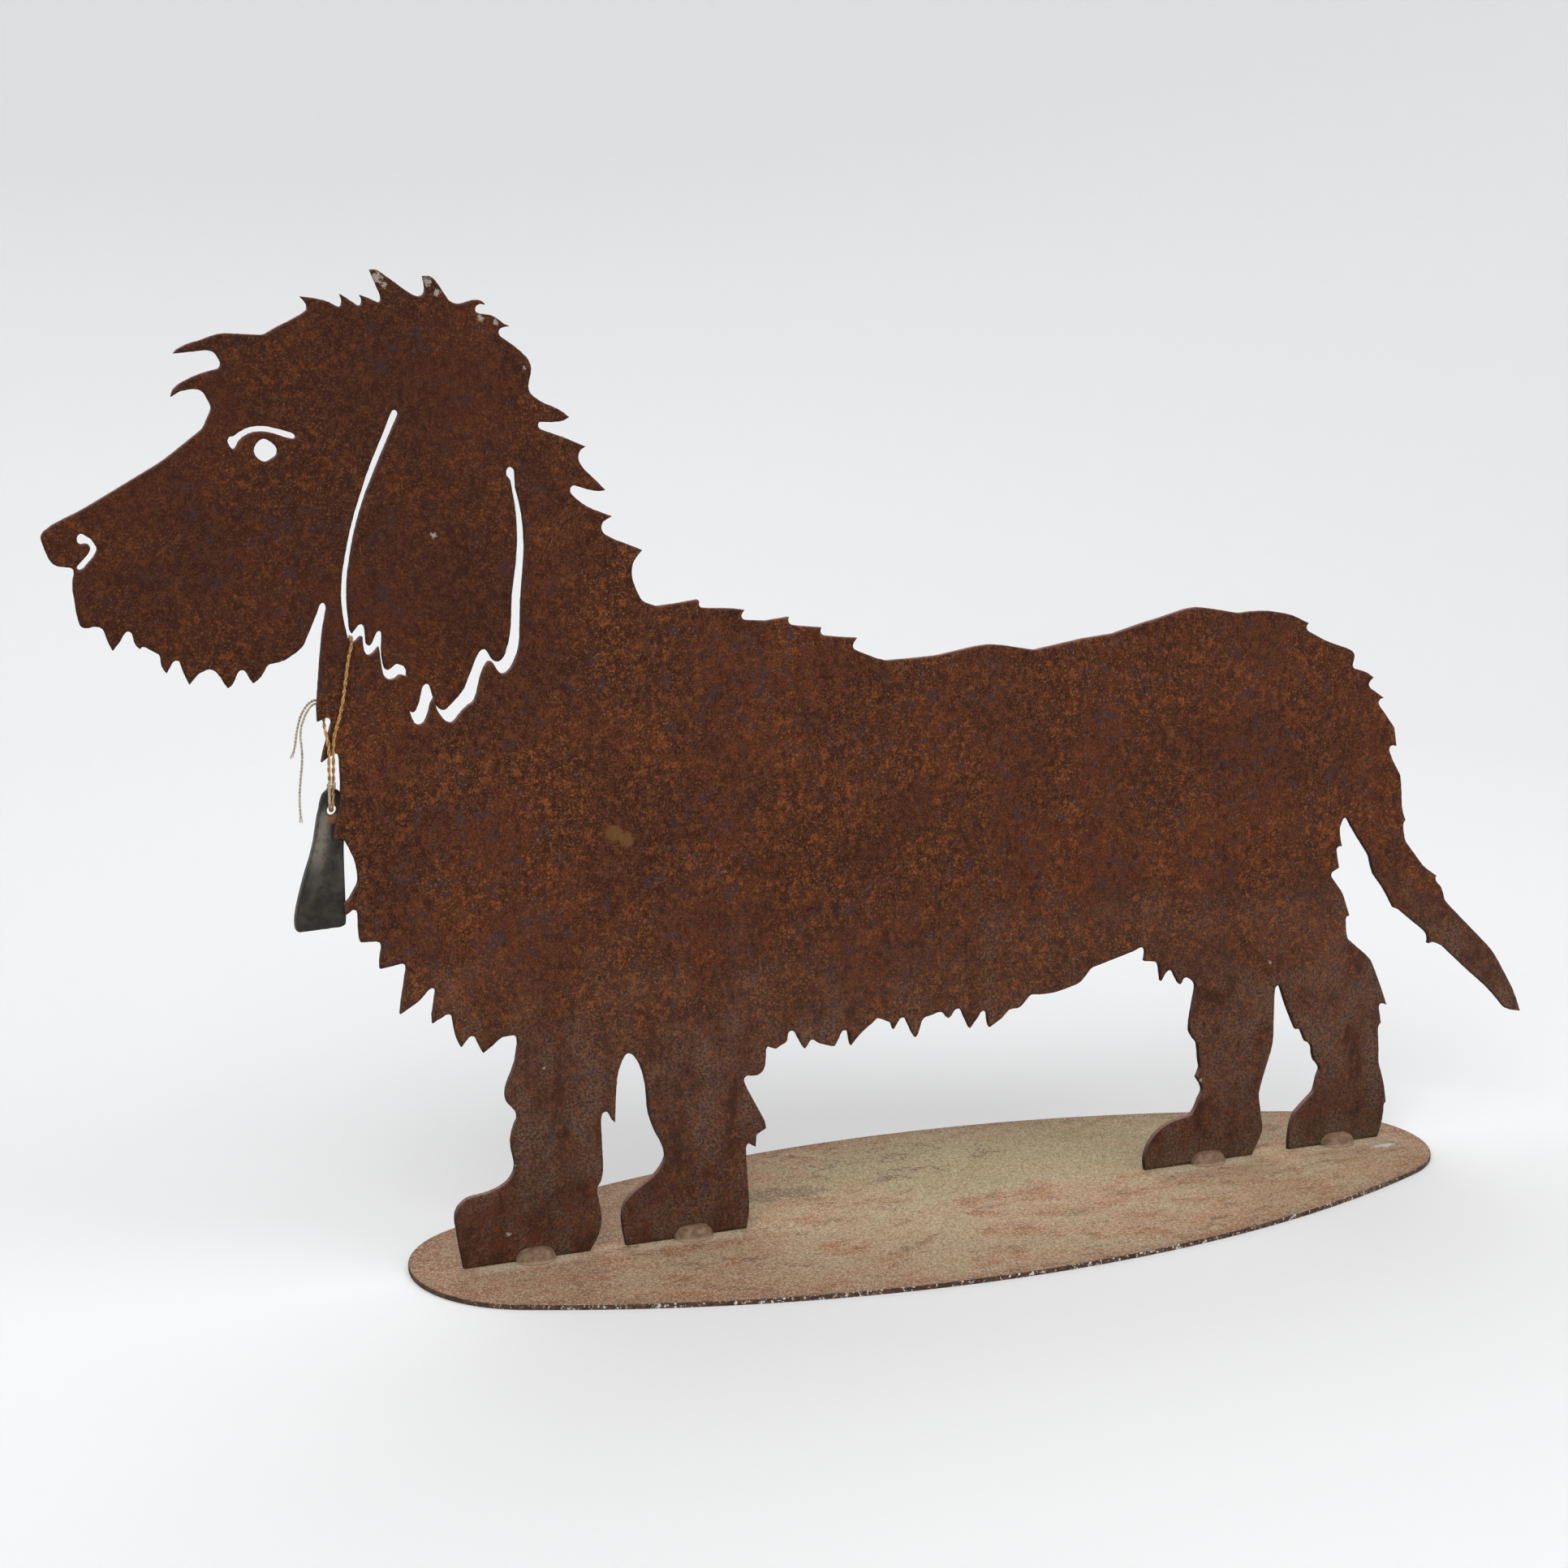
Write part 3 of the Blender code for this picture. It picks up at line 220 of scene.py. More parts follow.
def quads_of(rows: int, columns: int, close_rows: bool, close_columns: bool) -> np.ndarray:
    """The four-sided faces of a grid of points.

    Args:
        rows: How many rows it has.
        columns: How many columns.
        close_rows: Whether the last row joins the first.
        close_columns: Whether the last column joins the first.

    Returns:
        One face per row, as numbers of points counted row by row.
    """
    r = np.arange(rows if close_rows else rows - 1)[:, None]
    c = np.arange(columns if close_columns else columns - 1)[None, :]
    below, right = (r + 1) % rows, (c + 1) % columns
    return np.stack([r * columns + c, r * columns + right, below * columns + right,
                     below * columns + c], axis=-1).reshape(-1, 4)


@dataclass
class Shell:
    """Points, faces and values per point that grow into one mesh."""

    points: list[np.ndarray] = field(default_factory=list)
    faces: list[list[int]] = field(default_factory=list)
    values: dict[str, list[np.ndarray]] = field(default_factory=dict)
    count: int = 0

    def add(self, points: np.ndarray, faces: np.ndarray, **values: np.ndarray) -> None:
        """Adds points, and faces that count from the first of them.

        Args:
            points: One point per row.
            faces: One face per row.
            values: Named values, one for each point.
        """
        self.points.append(points)
        self.faces.extend((faces + self.count).tolist())
        for name, value in values.items():
            self.values.setdefault(name, []).append(np.broadcast_to(value, len(points)))
        self.count += len(points)

    def grid(self, surface: np.ndarray, close_rows: bool = False, close_columns: bool = False,
             cap: bool = False, **values: np.ndarray) -> None:
        """Adds a surface given as a grid of points.

        Args:
            surface: Points by row and column.
            close_rows: Whether the last row joins the first.
            close_columns: Whether the last column joins the first.
            cap: Whether the first and last rows are closed with a fan.
            values: Named values, one for each grid point.
        """
        rows, columns = surface.shape[:2]
        quads = quads_of(rows, columns, close_rows, close_columns)
        flat = {name: value.reshape(-1) for name, value in values.items()}
        start = self.count
        self.add(surface.reshape(-1, 3), quads, **flat)
        if not cap:
            return
        for row in (0, rows - 1):
            ring = start + row * columns + np.arange(columns)
            fan = np.column_stack([ring, np.roll(ring, -1), np.full(columns, self.count)])
            self.faces.extend(fan.tolist())
            middle = {name: value.reshape(rows, columns)[row].mean(keepdims=True)
                      for name, value in flat.items()}
            self.add(surface[row].mean(axis=0, keepdims=True), np.zeros((0, 3), int), **middle)

    def build(self, name: str, finish: bpy.types.Material, slot: Slot,
              *nodes: str) -> bpy.types.Object:
        """Makes the mesh, turns its faces outwards and hangs it on the frame.

        Args:
            name: The piece's name.
            finish: Its material.
            slot: Not used.
            nodes: The CAD nodes it stands for.

        Returns:
            The piece.
        """
        mesh = bpy.data.meshes.new(name)
        mesh.from_pydata(np.vstack(self.points).tolist(), [], self.faces)
        for label, parts in self.values.items():
            attribute = mesh.attributes.new(label, "FLOAT", "POINT")
            attribute.data.foreach_set("value", np.concatenate(parts).astype(np.float32))
        shape = bmesh.new()
        shape.from_mesh(mesh)
        bmesh.ops.recalc_face_normals(shape, faces=shape.faces)
        shape.to_mesh(mesh)
        shape.free()
        mesh.polygons.foreach_set("use_smooth", np.ones(len(mesh.polygons), bool))
        mesh.materials.append(finish)
        piece = linked(bpy.data.objects.new(name, mesh))
        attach(piece, "root")
        if nodes:
            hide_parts(*nodes)
        LOG.info("%s: %d faces", name, len(mesh.polygons))
        return piece


class Graph:
    """Builds shader nodes, each from the sockets that feed it."""

    def __init__(self, tree: bpy.types.NodeTree) -> None:
        """Keeps the tree that the nodes go into."""
        self.tree = tree

    def feed(self, socket: bpy.types.NodeSocket, value: object) -> None:
        """Links a socket to an input, or sets the input's own value."""
        if isinstance(value, bpy.types.NodeSocket):
            self.tree.links.new(value, socket)
        else:
            socket.default_value = (*value, 1.0) if socket.type == "RGBA" else value

    def node(self, kind: str, links: dict | None = None, **settings: object) -> bpy.types.Node:
        """Adds a node.

        Args:
            kind: The node's type.
            links: Sockets or values for its inputs, by name or number.
            settings: Values for the node's own properties.

        Returns:
            The node.
        """
        made = self.tree.nodes.new(kind)
        for name, value in settings.items():
            setattr(made, name, value)
        for name, value in (links or {}).items():
            self.feed(made.inputs[name], value)
        return made

    def place(self) -> Socket:
        """Object coordinates, in metres."""
        return self.node("ShaderNodeTexCoord").outputs["Object"]

    def value(self, name: str) -> Socket:
        """A value that the mesh holds per point."""
        return self.node("ShaderNodeAttribute", attribute_name=name).outputs["Fac"]

    def noise(self, vector: Input, scale: Input, detail: float = 4.0, rough: float = 0.55,
              warp: float = 0.0) -> Socket:
        """Cloudy noise from 0 to 1."""
        return self.node("ShaderNodeTexNoise", {
            "Vector": vector, "Scale": scale, "Detail": detail, "Roughness": rough,
            "Distortion": warp}).outputs["Fac"]

    def sums(self, kind: str, a: Input, b: Input = 0.0, c: Input = 0.0,
             clamp: bool = False) -> Socket:
        """One step of arithmetic, by the operation's name."""
        return self.node("ShaderNodeMath", {0: a, 1: b, 2: c}, operation=kind,
                         use_clamp=clamp).outputs[0]

    def times(self, a: Input, b: Input) -> Socket:
        """The product of two values."""
        return self.sums("MULTIPLY", a, b)

    def slope(self, value: Input, rise: Input, start: Input) -> Socket:
        """A value times a rise, plus a start."""
        return self.sums("MULTIPLY_ADD", value, rise, start)

    def fade(self, value: Input, low: float, high: float) -> Socket:
        """0 below low and 1 above high, smooth between, or the other way round."""
        return self.node("ShaderNodeMapRange", {
            "Value": value, "From Min": low, "From Max": high},
            interpolation_type="SMOOTHSTEP").outputs["Result"]

    def mix(self, share: Input, a: Input, b: Input) -> Socket:
        """A colour between two."""
        return self.node("ShaderNodeMix", {"Factor": share, 6: a, 7: b},
                         data_type="RGBA").outputs[2]

    def tint(self, colour: Input, towards: Input, mask: Input, share: Input) -> Socket:
        """A colour moved towards another by a mask times a share."""
        return self.mix(self.times(mask, share), colour, towards)

    def squeeze(self, vector: Input, scale: Point) -> Socket:
        """Coordinates stretched along each axis."""
        return self.node("ShaderNodeMapping", {"Vector": vector, "Scale": scale}).outputs[0]

    def distance(self, a: Input, b: Input) -> Socket:
        """The distance between two places."""
        return self.node("ShaderNodeVectorMath", {0: a, 1: b},
                         operation="DISTANCE").outputs["Value"]

    def axes(self, vector: Input) -> list[Socket]:
        """The three parts of a vector."""
        return list(self.node("ShaderNodeSeparateXYZ", {0: vector}).outputs)

    def use(self, group: bpy.types.NodeTree, output: str, **links: Input) -> Socket:
        """Places a node group, with its inputs by name, and gives one of its outputs."""
        made = self.node("ShaderNodeGroup", node_tree=group)
        for name, value in links.items():
            self.feed(made.inputs[name], value)
        return made.outputs[output]


def new_group(name: str, inputs: dict[str, Input],
              outputs: tuple[str, ...]) -> tuple[Graph, dict[str, Socket], bpy.types.Node]:
    """An empty shader node group with named sockets.

    Args:
        name: The group's name.
        inputs: A starting value for each input: a number, or three for a vector.
        outputs: Names of its outputs, each a number.

    Returns:
        Its graph, the inputs' sockets by name, and the node that its outputs feed.
    """
    tree = bpy.data.node_groups.new(name, "ShaderNodeTree")
    for label, value in inputs.items():
        kind = "NodeSocketVector" if isinstance(value, tuple) else "NodeSocketFloat"
        tree.interface.new_socket(label, in_out="INPUT", socket_type=kind).default_value = value
    for label in outputs:
        tree.interface.new_socket(label, in_out="OUTPUT", socket_type="NodeSocketFloat")
    graph = Graph(tree)
    inside = graph.node("NodeGroupInput")
    return graph, {s.name: s for s in inside.outputs if s.name}, graph.node("NodeGroupOutput")


@dataclass(frozen=True)
class Effects:
    """The node groups that several finishes share."""

    speckle: bpy.types.NodeTree
    grain: bpy.types.NodeTree
    chip: bpy.types.NodeTree
    settled: bpy.types.NodeTree

    @staticmethod
    def speckle_group() -> bpy.types.NodeTree:
        """Ragged spots: where fine cloudy noise passes a threshold."""
        graph, given, out = new_group(
            "rust_speckle", {"Vector": ORIGIN, "Scale": 300.0, "Threshold": 0.6,
                             "Softness": 0.1}, ("Mask",))
        cloud = graph.noise(given["Vector"], given["Scale"], 5.0, 0.7)
        top = graph.sums("ADD", given["Threshold"], given["Softness"])
        graph.feed(out.inputs["Mask"], graph.fade(cloud, given["Threshold"], top))
        return graph.tree

    @staticmethod
    def grain_group() -> bpy.types.NodeTree:
        """Sheet surface: fine scale and round pits, as a height and as a mask of the pits."""
        graph, given, out = new_group(
            "pitted_grain", {"Vector": ORIGIN, "Scale": 500.0}, ("Height", "Pits"))
        vector, scale = given["Vector"], given["Scale"]
        cloud = graph.noise(vector, scale, 6.0, 0.68)
        broad = graph.noise(vector, graph.times(scale, 0.16), 3.0, 0.5)
        cell = graph.node("ShaderNodeTexVoronoi", {
            "Vector": vector, "Scale": graph.times(scale, 0.8)})
        pits = graph.times(graph.fade(cell.outputs["Distance"], 0.32, 0.08),
                           graph.fade(broad, 0.5, 0.66))
        height = graph.slope(pits, -0.55, graph.slope(broad, 0.6, cloud))
        graph.feed(out.inputs["Height"], height)
        graph.feed(out.inputs["Pits"], pits)
        return graph.tree

    @staticmethod
    def chip_group() -> bpy.types.NodeTree:
        """A ragged patch around a centre: distance, roughened by noise, under a radius."""
        graph, given, out = new_group(
            "ragged_patch", {"Vector": ORIGIN, "Centre": ORIGIN, "Radius": 0.002,
                             "Ragged": 0.8, "Scale": 700.0}, ("Mask",))
        far = graph.distance(given["Vector"], given["Centre"])
        cloud = graph.sums("SUBTRACT", graph.noise(given["Vector"], given["Scale"], 4.0, 0.7), 0.5)
        rough = graph.times(graph.times(cloud, given["Ragged"]), graph.times(given["Radius"], 4.0))
        share = graph.sums("DIVIDE", graph.sums("ADD", far, rough), given["Radius"])
        graph.feed(out.inputs["Mask"], graph.fade(share, 1.15, 0.7))
        return graph.tree

    @staticmethod
    def settled_group() -> bpy.types.NodeTree:
        """Dust that settles below a height: a soft edge broken by noise."""
        graph, given, out = new_group(
            "settled_dust", {"Vector": ORIGIN, "Height": 0.05, "Spread": 0.05, "Scale": 120.0},
            ("Mask",))
        up = graph.axes(given["Vector"])[2]
        cloud = graph.sums("SUBTRACT", graph.noise(given["Vector"], given["Scale"], 5.0, 0.65), 0.5)
        level = graph.slope(cloud, graph.times(given["Spread"], 1.6), up)
        low = graph.sums("SUBTRACT", given["Height"], given["Spread"])
        above = graph.fade(level, low, given["Height"])
        graph.feed(out.inputs["Mask"], graph.sums("SUBTRACT", 1.0, above, clamp=True))
        return graph.tree

    @classmethod
    def build(cls) -> Effects:
        """Makes each group once."""
        return cls(cls.speckle_group(), cls.grain_group(), cls.chip_group(), cls.settled_group())

    def spots(self, graph: Graph, vector: Input, scale: float, start: float,
              soft: float) -> Socket:
        """Ragged spots, as a mask."""
        return graph.use(self.speckle, "Mask", Vector=vector, Scale=scale, Threshold=start,
                         Softness=soft)

    def patch(self, graph: Graph, vector: Input, centre: Point, radius: float, ragged: float,
              scale: float = 700.0) -> Socket:
        """One ragged patch, as a mask."""
        return graph.use(self.chip, "Mask", Vector=vector, Centre=centre, Radius=radius,
                         Ragged=ragged, Scale=scale)

    def dust(self, graph: Graph, vector: Input, height: float, spread: float,
             scale: float) -> Socket:
        """Dust below a height, as a mask."""
        return graph.use(self.settled, "Mask", Vector=vector, Height=height, Spread=spread,
                         Scale=scale)


@dataclass(frozen=True)
class Cloud:
    """Cloudy noise as a mask: its scale, detail and roughness, and where it fades in."""

    scale: float
    detail: float
    rough: float
    low: float
    high: float

    def mask(self, graph: Graph, vector: Input) -> Socket:
        """The cloud's mask."""
        cloud = graph.noise(vector, self.scale, self.detail, self.rough)
        return graph.fade(cloud, self.low, self.high)


@dataclass(frozen=True)
class Mark:
    """A chip or stain: its centre, radius and how ragged it is, in millimetres over the soles."""

    x: float
    z: float
    radius: float
    ragged: float = 1.3

    def mask(self, graph: Graph, effects: Effects, place: Socket) -> Socket:
        """The mark's mask, on the shown face."""
        centre = (self.x * MM, -DOG_HALF_SHEET, SOLE_HEIGHT + self.z * MM)
        return effects.patch(graph, place, centre, self.radius * MM, self.ragged)


@dataclass(frozen=True)
class Smear:
    """A ragged patch drawn out along the base, whose x counts for less by a share."""

    centre: Point
    radius: float
    share: float
    scale: float = 700.0

    def mask(self, graph: Graph, effects: Effects, place: Socket) -> Socket:
        """The smear's mask."""
        return effects.patch(graph, graph.squeeze(place, (self.share, 1.0, 1.0)),
                             (self.centre[0] * self.share, *self.centre[1:]), self.radius, 0.9,
                             self.scale)


@dataclass(frozen=True)
class Finish:
    """What every finish has: its name and the shader's constants."""

    name: str
    metallic: float = 0.0
    specular: float = 0.5

    def make(self, effects: Effects) -> bpy.types.Material:
        """Builds the material.

        Args:
            effects: The shared node groups.

        Returns:
            The material.
        """
        material = bpy.data.materials.new(self.name)
        material.use_nodes = True
        shader = material.node_tree.nodes["Principled BSDF"]
        shader.inputs["Metallic"].default_value = self.metallic
        shader.inputs["Specular IOR Level"].default_value = self.specular
        graph = Graph(material.node_tree)
        self.paint(graph, effects, graph.place(), shader)
        return material

    def paint(self, graph: Graph, effects: Effects, place: Socket,
              shader: bpy.types.Node) -> None:
        """Feeds the shader its colour, roughness and relief. Each finish has its own."""
        raise NotImplementedError

    @staticmethod
    def surface(graph: Graph, shader: bpy.types.Node, colour: Socket, dull: Input, height: Socket,
                strength: float, depth: float) -> None:
        """Feeds the shader.

        Args:
            graph: The material's graph.
            shader: Its Principled shader.
            colour: The base colour.
            dull: The roughness.
            height: The relief's height.
            strength: How much of the relief shows, from 0 to 1.
            depth: The relief's depth in metres.
        """
        graph.feed(shader.inputs["Base Color"], colour)
        graph.feed(shader.inputs["Roughness"], dull)
        bump = graph.node("ShaderNodeBump", {
            "Height": height, "Strength": strength, "Distance": depth})
        graph.feed(shader.inputs["Normal"], bump.outputs[0])


@dataclass(frozen=True)
class RustedPlate(Finish):
    """Dark brown rust with orange speckle, violet-grey scale and dust towards the feet."""

    deep: Colour = (0.030, 0.0085, 0.0040)
    brown: Colour = (0.070, 0.0220, 0.0092)
    light: Colour = (0.135, 0.050, 0.0230)
    red: Colour = (0.098, 0.0245, 0.0085)
    violet: Colour = (0.044, 0.0270, 0.0290)
    orange: Colour = (0.200, 0.056, 0.0125)
    ochre: Colour = (0.240, 0.105, 0.030)
    dust: Colour = (0.145, 0.097, 0.072)
    olive: Colour = (0.150, 0.120, 0.070)
    # Painted highlight on the up-facing cut edge, painted shade on the rest of it.
    painted_highlight_edge: Colour = (0.28, 0.160, 0.135)
    painted_shade_edge: Colour = (0.016, 0.0085, 0.0065)
    bare: Colour = (0.33, 0.29, 0.23)
    stain: Colour = (0.170, 0.088, 0.026)
    mottle: Cloud = Cloud(300.0, 4.0, 0.75, 0.42, 0.56)
    runs: Cloud = Cloud(620.0, 3.0, 0.65, 0.46, 0.66)
    scaled: Cloud = Cloud(13.0, 2.0, 0.5, 0.42, 0.54)
    rusty: Cloud = Cloud(19.0, 3.0, 0.6, 0.38, 0.60)
    grit: Cloud = Cloud(700.0, 4.0, 0.75, 0.44, 0.60)
    torch_marks: Cloud = Cloud(900.0, 3.0, 0.6, 0.45, 0.62)
    grain_scale: float = 880.0
    chips: tuple[Mark, ...] = (
        Mark(-306.5, 491.5, 2.4), Mark(-303, 488, 1.3), Mark(-282.5, 489.5, 1.9),
        Mark(-277.5, 484.5, 1.5), Mark(-256.5, 472.5, 1.5), Mark(-249, 470.5, 1.3),
        Mark(-282, 370, 1.3), Mark(-235, 449, 0.9), Mark(-231, 100, 0.7),
        Mark(-251, 15, 1.1), Mark(-247.6, 51, 0.9), Mark(200.1, 112.4, 1.0),
        Mark(156.6, 48.5, 1.0))
    stains: tuple[Mark, ...] = (
        Mark(-192.0, 217.6, 4.6, 0.25), Mark(-185.5, 213.6, 4.2, 0.25))

    def rust(self, graph: Graph, effects: Effects, place: Socket) -> Socket:
        """The rust's colour: grain at three sizes, vertical runs, scale and orange spots, with
        painted shade in the pits and towards the head.

        Args:
            graph: The material's graph.
            effects: The shared node groups.
            place: Object coordinates.

        Returns:
            The colour.
        """
        x, _, z = graph.axes(place)
        clouds = graph.noise(place, 14.0, 5.0, 0.62)
        fine = graph.noise(place, 1150.0, 3.0, 0.7)
        colour = graph.mix(self.mottle.mask(graph, place), self.deep, self.brown)
        colour = graph.tint(colour, self.red, graph.fade(clouds, 0.44, 0.62), 0.55)
        runs = self.runs.mask(graph, graph.squeeze(place, (1.0, 1.0, 0.22)))
        lower = graph.sums("MAXIMUM", graph.fade(x, -0.06, 0.06), graph.fade(z, 0.24, 0.14))
        colour = graph.tint(colour, self.red, runs, graph.slope(lower, 0.50, 0.12))
        colour = graph.tint(colour, self.light, graph.fade(fine, 0.52, 0.63), 0.80)
        scale = graph.times(effects.spots(graph, place, 120.0, 0.54, 0.08),
                            self.scaled.mask(graph, place))
        colour = graph.tint(colour, self.violet, scale, 0.85)
        rusty = graph.slope(self.rusty.mask(graph, place), 0.70, 0.25)
        coarse = effects.spots(graph, place, 300.0, 0.550, 0.06)
        colour = graph.tint(colour, self.orange, coarse, rusty)
        small = effects.spots(graph, place, 760.0, 0.565, 0.05)
        colour = graph.tint(colour, self.ochre, small, rusty)
        # Dark grain and pores are the rust's own colour; the darkening in the round pits is painted
        # shade.
        pits = graph.use(effects.grain, "Pits", Vector=place, Scale=self.grain_scale)
        pores = effects.spots(graph, graph.squeeze(place, (1.0, 1.0, 0.7)), 330.0, 0.56, 0.04)
        dark = graph.sums("MAXIMUM", graph.fade(fine, 0.46, 0.34), pits)
        dark = graph.sums("MAXIMUM", dark, graph.times(pores, 0.9))
        colour = graph.tint(colour, self.deep, dark, 0.85)
        # Painted shade: darker towards the head and ear.
        painted_head_shade = graph.times(graph.fade(graph.slope(clouds, 0.12, x), -0.12, -0.20),
                           graph.fade(graph.slope(clouds, 0.10, z), 0.31, 0.38))
        return graph.tint(colour, self.deep, painted_head_shade, 0.40)

    def dusted(self, graph: Graph, effects: Effects, place: Socket, colour: Socket) -> Socket:
        """Adds what has settled and soaked in low down: grey dust, red toes and olive soles.

        Args:
            graph: The material's graph.
            effects: The shared node groups.
            place: Object coordinates.
            colour: The rust's colour.

        Returns:
            The colour.
        """
        x, _, z = graph.axes(place)
        grit = self.grit.mask(graph, place)
        patch = graph.noise(graph.squeeze(place, (1.0, 1.0, 0.6)), 60.0, 4.0, 0.65)
        share = graph.slope(graph.fade(patch, 0.46, 0.62), 0.55, 0.38)
        low = effects.dust(graph, place, 0.19, 0.13, 30.0)
        colour = graph.tint(colour, self.dust, low, graph.slope(share, grit, 0.06))
        worn = graph.times(graph.fade(patch, 0.46, 0.36), graph.fade(z, 0.14, 0.10))
        colour = graph.tint(colour, self.deep, worn, 0.55)
        colour = graph.tint(colour, self.deep, graph.fade(z, 0.060, 0.030), 0.20)
        toes = effects.spots(graph, graph.squeeze(place, (0.6, 1.0, 1.0)), 110.0, 0.52, 0.12)
        toes = graph.times(graph.times(toes, graph.fade(z, 0.045, 0.02)),
                           graph.fade(x, 0.02, -0.02))
        colour = graph.tint(colour, self.red, toes, 0.60)
        soles = graph.times(effects.dust(graph, place, 0.022, 0.019, 150.0),
                            graph.slope(grit, 0.55, 0.15))
        return graph.tint(colour, self.olive, soles,
                          graph.slope(graph.fade(x, 0.02, 0.16), 0.62, 0.10))

    def paint(self, graph: Graph, effects: Effects, place: Socket,
              shader: bpy.types.Node) -> None:
        """Rust, dust, stains, the torch-cut edge with its painted highlight and shade, and the
        chips.
        """
        colour = self.dusted(graph, effects, place, self.rust(graph, effects, place))
        for stain in self.stains:
            colour = graph.tint(colour, self.stain, stain.mask(graph, effects, place), 0.55)
        # Painted highlight and shade on the cut edge, by how far it faces up.
        edge = graph.mix(graph.value("lit"), self.painted_shade_edge, self.painted_highlight_edge)
        striped = self.torch_marks.mask(graph, graph.squeeze(place, (1.0, 0.12, 1.0)))
        edge = graph.tint(edge, self.brown, striped, 0.4)
        colour = graph.mix(graph.value("wall"), colour, edge)
        chipped = 0.0
        for chip in self.chips:
            chipped = graph.sums("MAXIMUM", chipped, chip.mask(graph, effects, place))
        colour = graph.tint(colour, self.bare, chipped, 0.85)
        dull = graph.slope(graph.noise(place, 260.0, 4.0, 0.6), 0.30, 0.55)
        height = graph.use(effects.grain, "Height", Vector=place, Scale=self.grain_scale)
        self.surface(graph, shader, colour, dull, height, 0.75, 0.00050)


@dataclass(frozen=True)
class DustyBase(Finish):
    """Rusted plate under tan dust, orange where it shows through, grey-green where it got wet."""

    tan: Colour = (0.425, 0.315, 0.195)
    pink: Colour = (0.430, 0.255, 0.155)
    orange: Colour = (0.360, 0.150, 0.066)
    brown: Colour = (0.165, 0.086, 0.052)
    rust: Colour = (0.255, 0.112, 0.062)
    green: Colour = (0.335, 0.285, 0.155)
    pale: Colour = (0.640, 0.540, 0.390)
    dark: Colour = (0.105, 0.062, 0.042)
    edge: Colour = (0.055, 0.030, 0.020)
    fleck: Colour = (0.62, 0.60, 0.55)
    mottle: Cloud = Cloud(34.0, 6.0, 0.72, 0.43, 0.57)
    rim_mottle: Cloud = Cloud(240.0, 3.0, 0.6, 0.4, 0.65)
    scuff: Smear = Smear((0.272, -0.0166, 0.0025), 0.0026, 0.35)
    smudge: Smear = Smear((-0.080, 0.0425, 0.0025), 0.010, 0.38, 90.0)
    wet_centre: Point = (0.055, 0.050, 0.0025)
    tide_centre: Point = (-0.002, 0.066, 0.0025)
    pool_share: float = 0.44
    sole_gap: float = 0.006

    def ground(self, graph: Graph, effects: Effects, place: Socket) -> Socket:
        """The dust and rust's own colour: mottled along the plate, more orange at its near end.

        Args:
            graph: The material's graph.
            effects: The shared node groups.
            place: Object coordinates.

        Returns:
            The colour.
        """
        along = graph.squeeze(place, (0.48, 1.0, 1.0))
        left = graph.fade(graph.axes(place)[0], 0.06, -0.26)
        colour = graph.mix(self.mottle.mask(graph, along), self.tan, self.pink)
        colour = graph.tint(colour, self.orange, effects.spots(graph, along, 60.0, 0.535, 0.06),
                            graph.slope(left, 0.25, 0.70))
        colour = graph.tint(colour, self.rust, left, 0.45)
        colour = graph.tint(colour, self.brown, effects.spots(graph, along, 130.0, 0.555, 0.06),
                            0.62)
        return graph.tint(colour, self.rust, graph.value("rim"), 0.62)

    def pool(self, graph: Graph, place: Socket, centre: Point) -> Socket:
        """The distance from a centre, with x counting for less."""
        return graph.distance(graph.squeeze(place, (self.pool_share, 1.0, 1.0)),
                              (centre[0] * self.pool_share, *centre[1:]))

    def soaked(self, graph: Graph, effects: Effects, place: Socket, colour: Socket) -> Socket:
        """Adds the grey-green pool on the far side, the tide line in it and a dark smudge.

        Args:
            graph: The material's graph.
            effects: The shared node groups.
            place: Object coordinates.
            colour: The ground's colour.

        Returns:
            The colour.
        """
        wander = graph.sums("SUBTRACT", graph.noise(place, 26.0, 5.0, 0.62), 0.5)
        far = graph.slope(wander, 0.16, self.pool(graph, place, self.wet_centre))
        colour = graph.tint(colour, self.green, graph.fade(far, 0.090, 0.020), 0.80)
        level = graph.noise(graph.squeeze(place, (0.5, 1.0, 1.0)), 34.0, 4.0, 0.55)
        line = graph.sums("ABSOLUTE", graph.sums("SUBTRACT", level, 0.52))
        line = graph.times(graph.fade(line, 0.014, 0.005),
                           graph.fade(self.pool(graph, place, self.tide_centre), 0.034, 0.026))
        colour = graph.tint(colour, self.dark, line, 0.70)
        return graph.tint(colour, self.dark, self.smudge.mask(graph, effects, place), 0.55)

    def paint(self, graph: Graph, effects: Effects, place: Socket,
              shader: bpy.types.Node) -> None:
        """The ground, the wet patch, dust swept against the feet, sand and the dark rim."""
        y = graph.axes(place)[1]
        sand = graph.noise(place, 1000.0, 4.0, 0.75)
        colour = self.soaked(graph, effects, place, self.ground(graph, effects, place))
        off_line = graph.sums("ABSOLUTE", graph.sums("ADD", y, self.sole_gap))
        swept = graph.times(graph.fade(off_line, 0.010, 0.0015), graph.value("feet"))
        colour = graph.tint(colour, self.pale, swept, 0.60)
        colour = graph.tint(colour, self.pale, graph.fade(sand, 0.50, 0.60), 0.62)
        colour = graph.tint(colour, self.brown, graph.fade(sand, 0.48, 0.38), 0.80)
        rim = graph.mix(self.rim_mottle.mask(graph, place), self.edge, self.dark)
        rim = graph.tint(rim, self.fleck, effects.spots(graph, place, 520.0, 0.565, 0.04),
                         graph.fade(y, -0.03, -0.09))
        colour = graph.mix(graph.value("wall"), colour, rim)
        colour = graph.mix(self.scuff.mask(graph, effects, place), colour, self.fleck)
        height = graph.use(effects.grain, "Height", Vector=place, Scale=760.0)
        self.surface(graph, shader, colour, graph.slope(sand, 0.2, 0.72), height, 0.6, 0.00045)


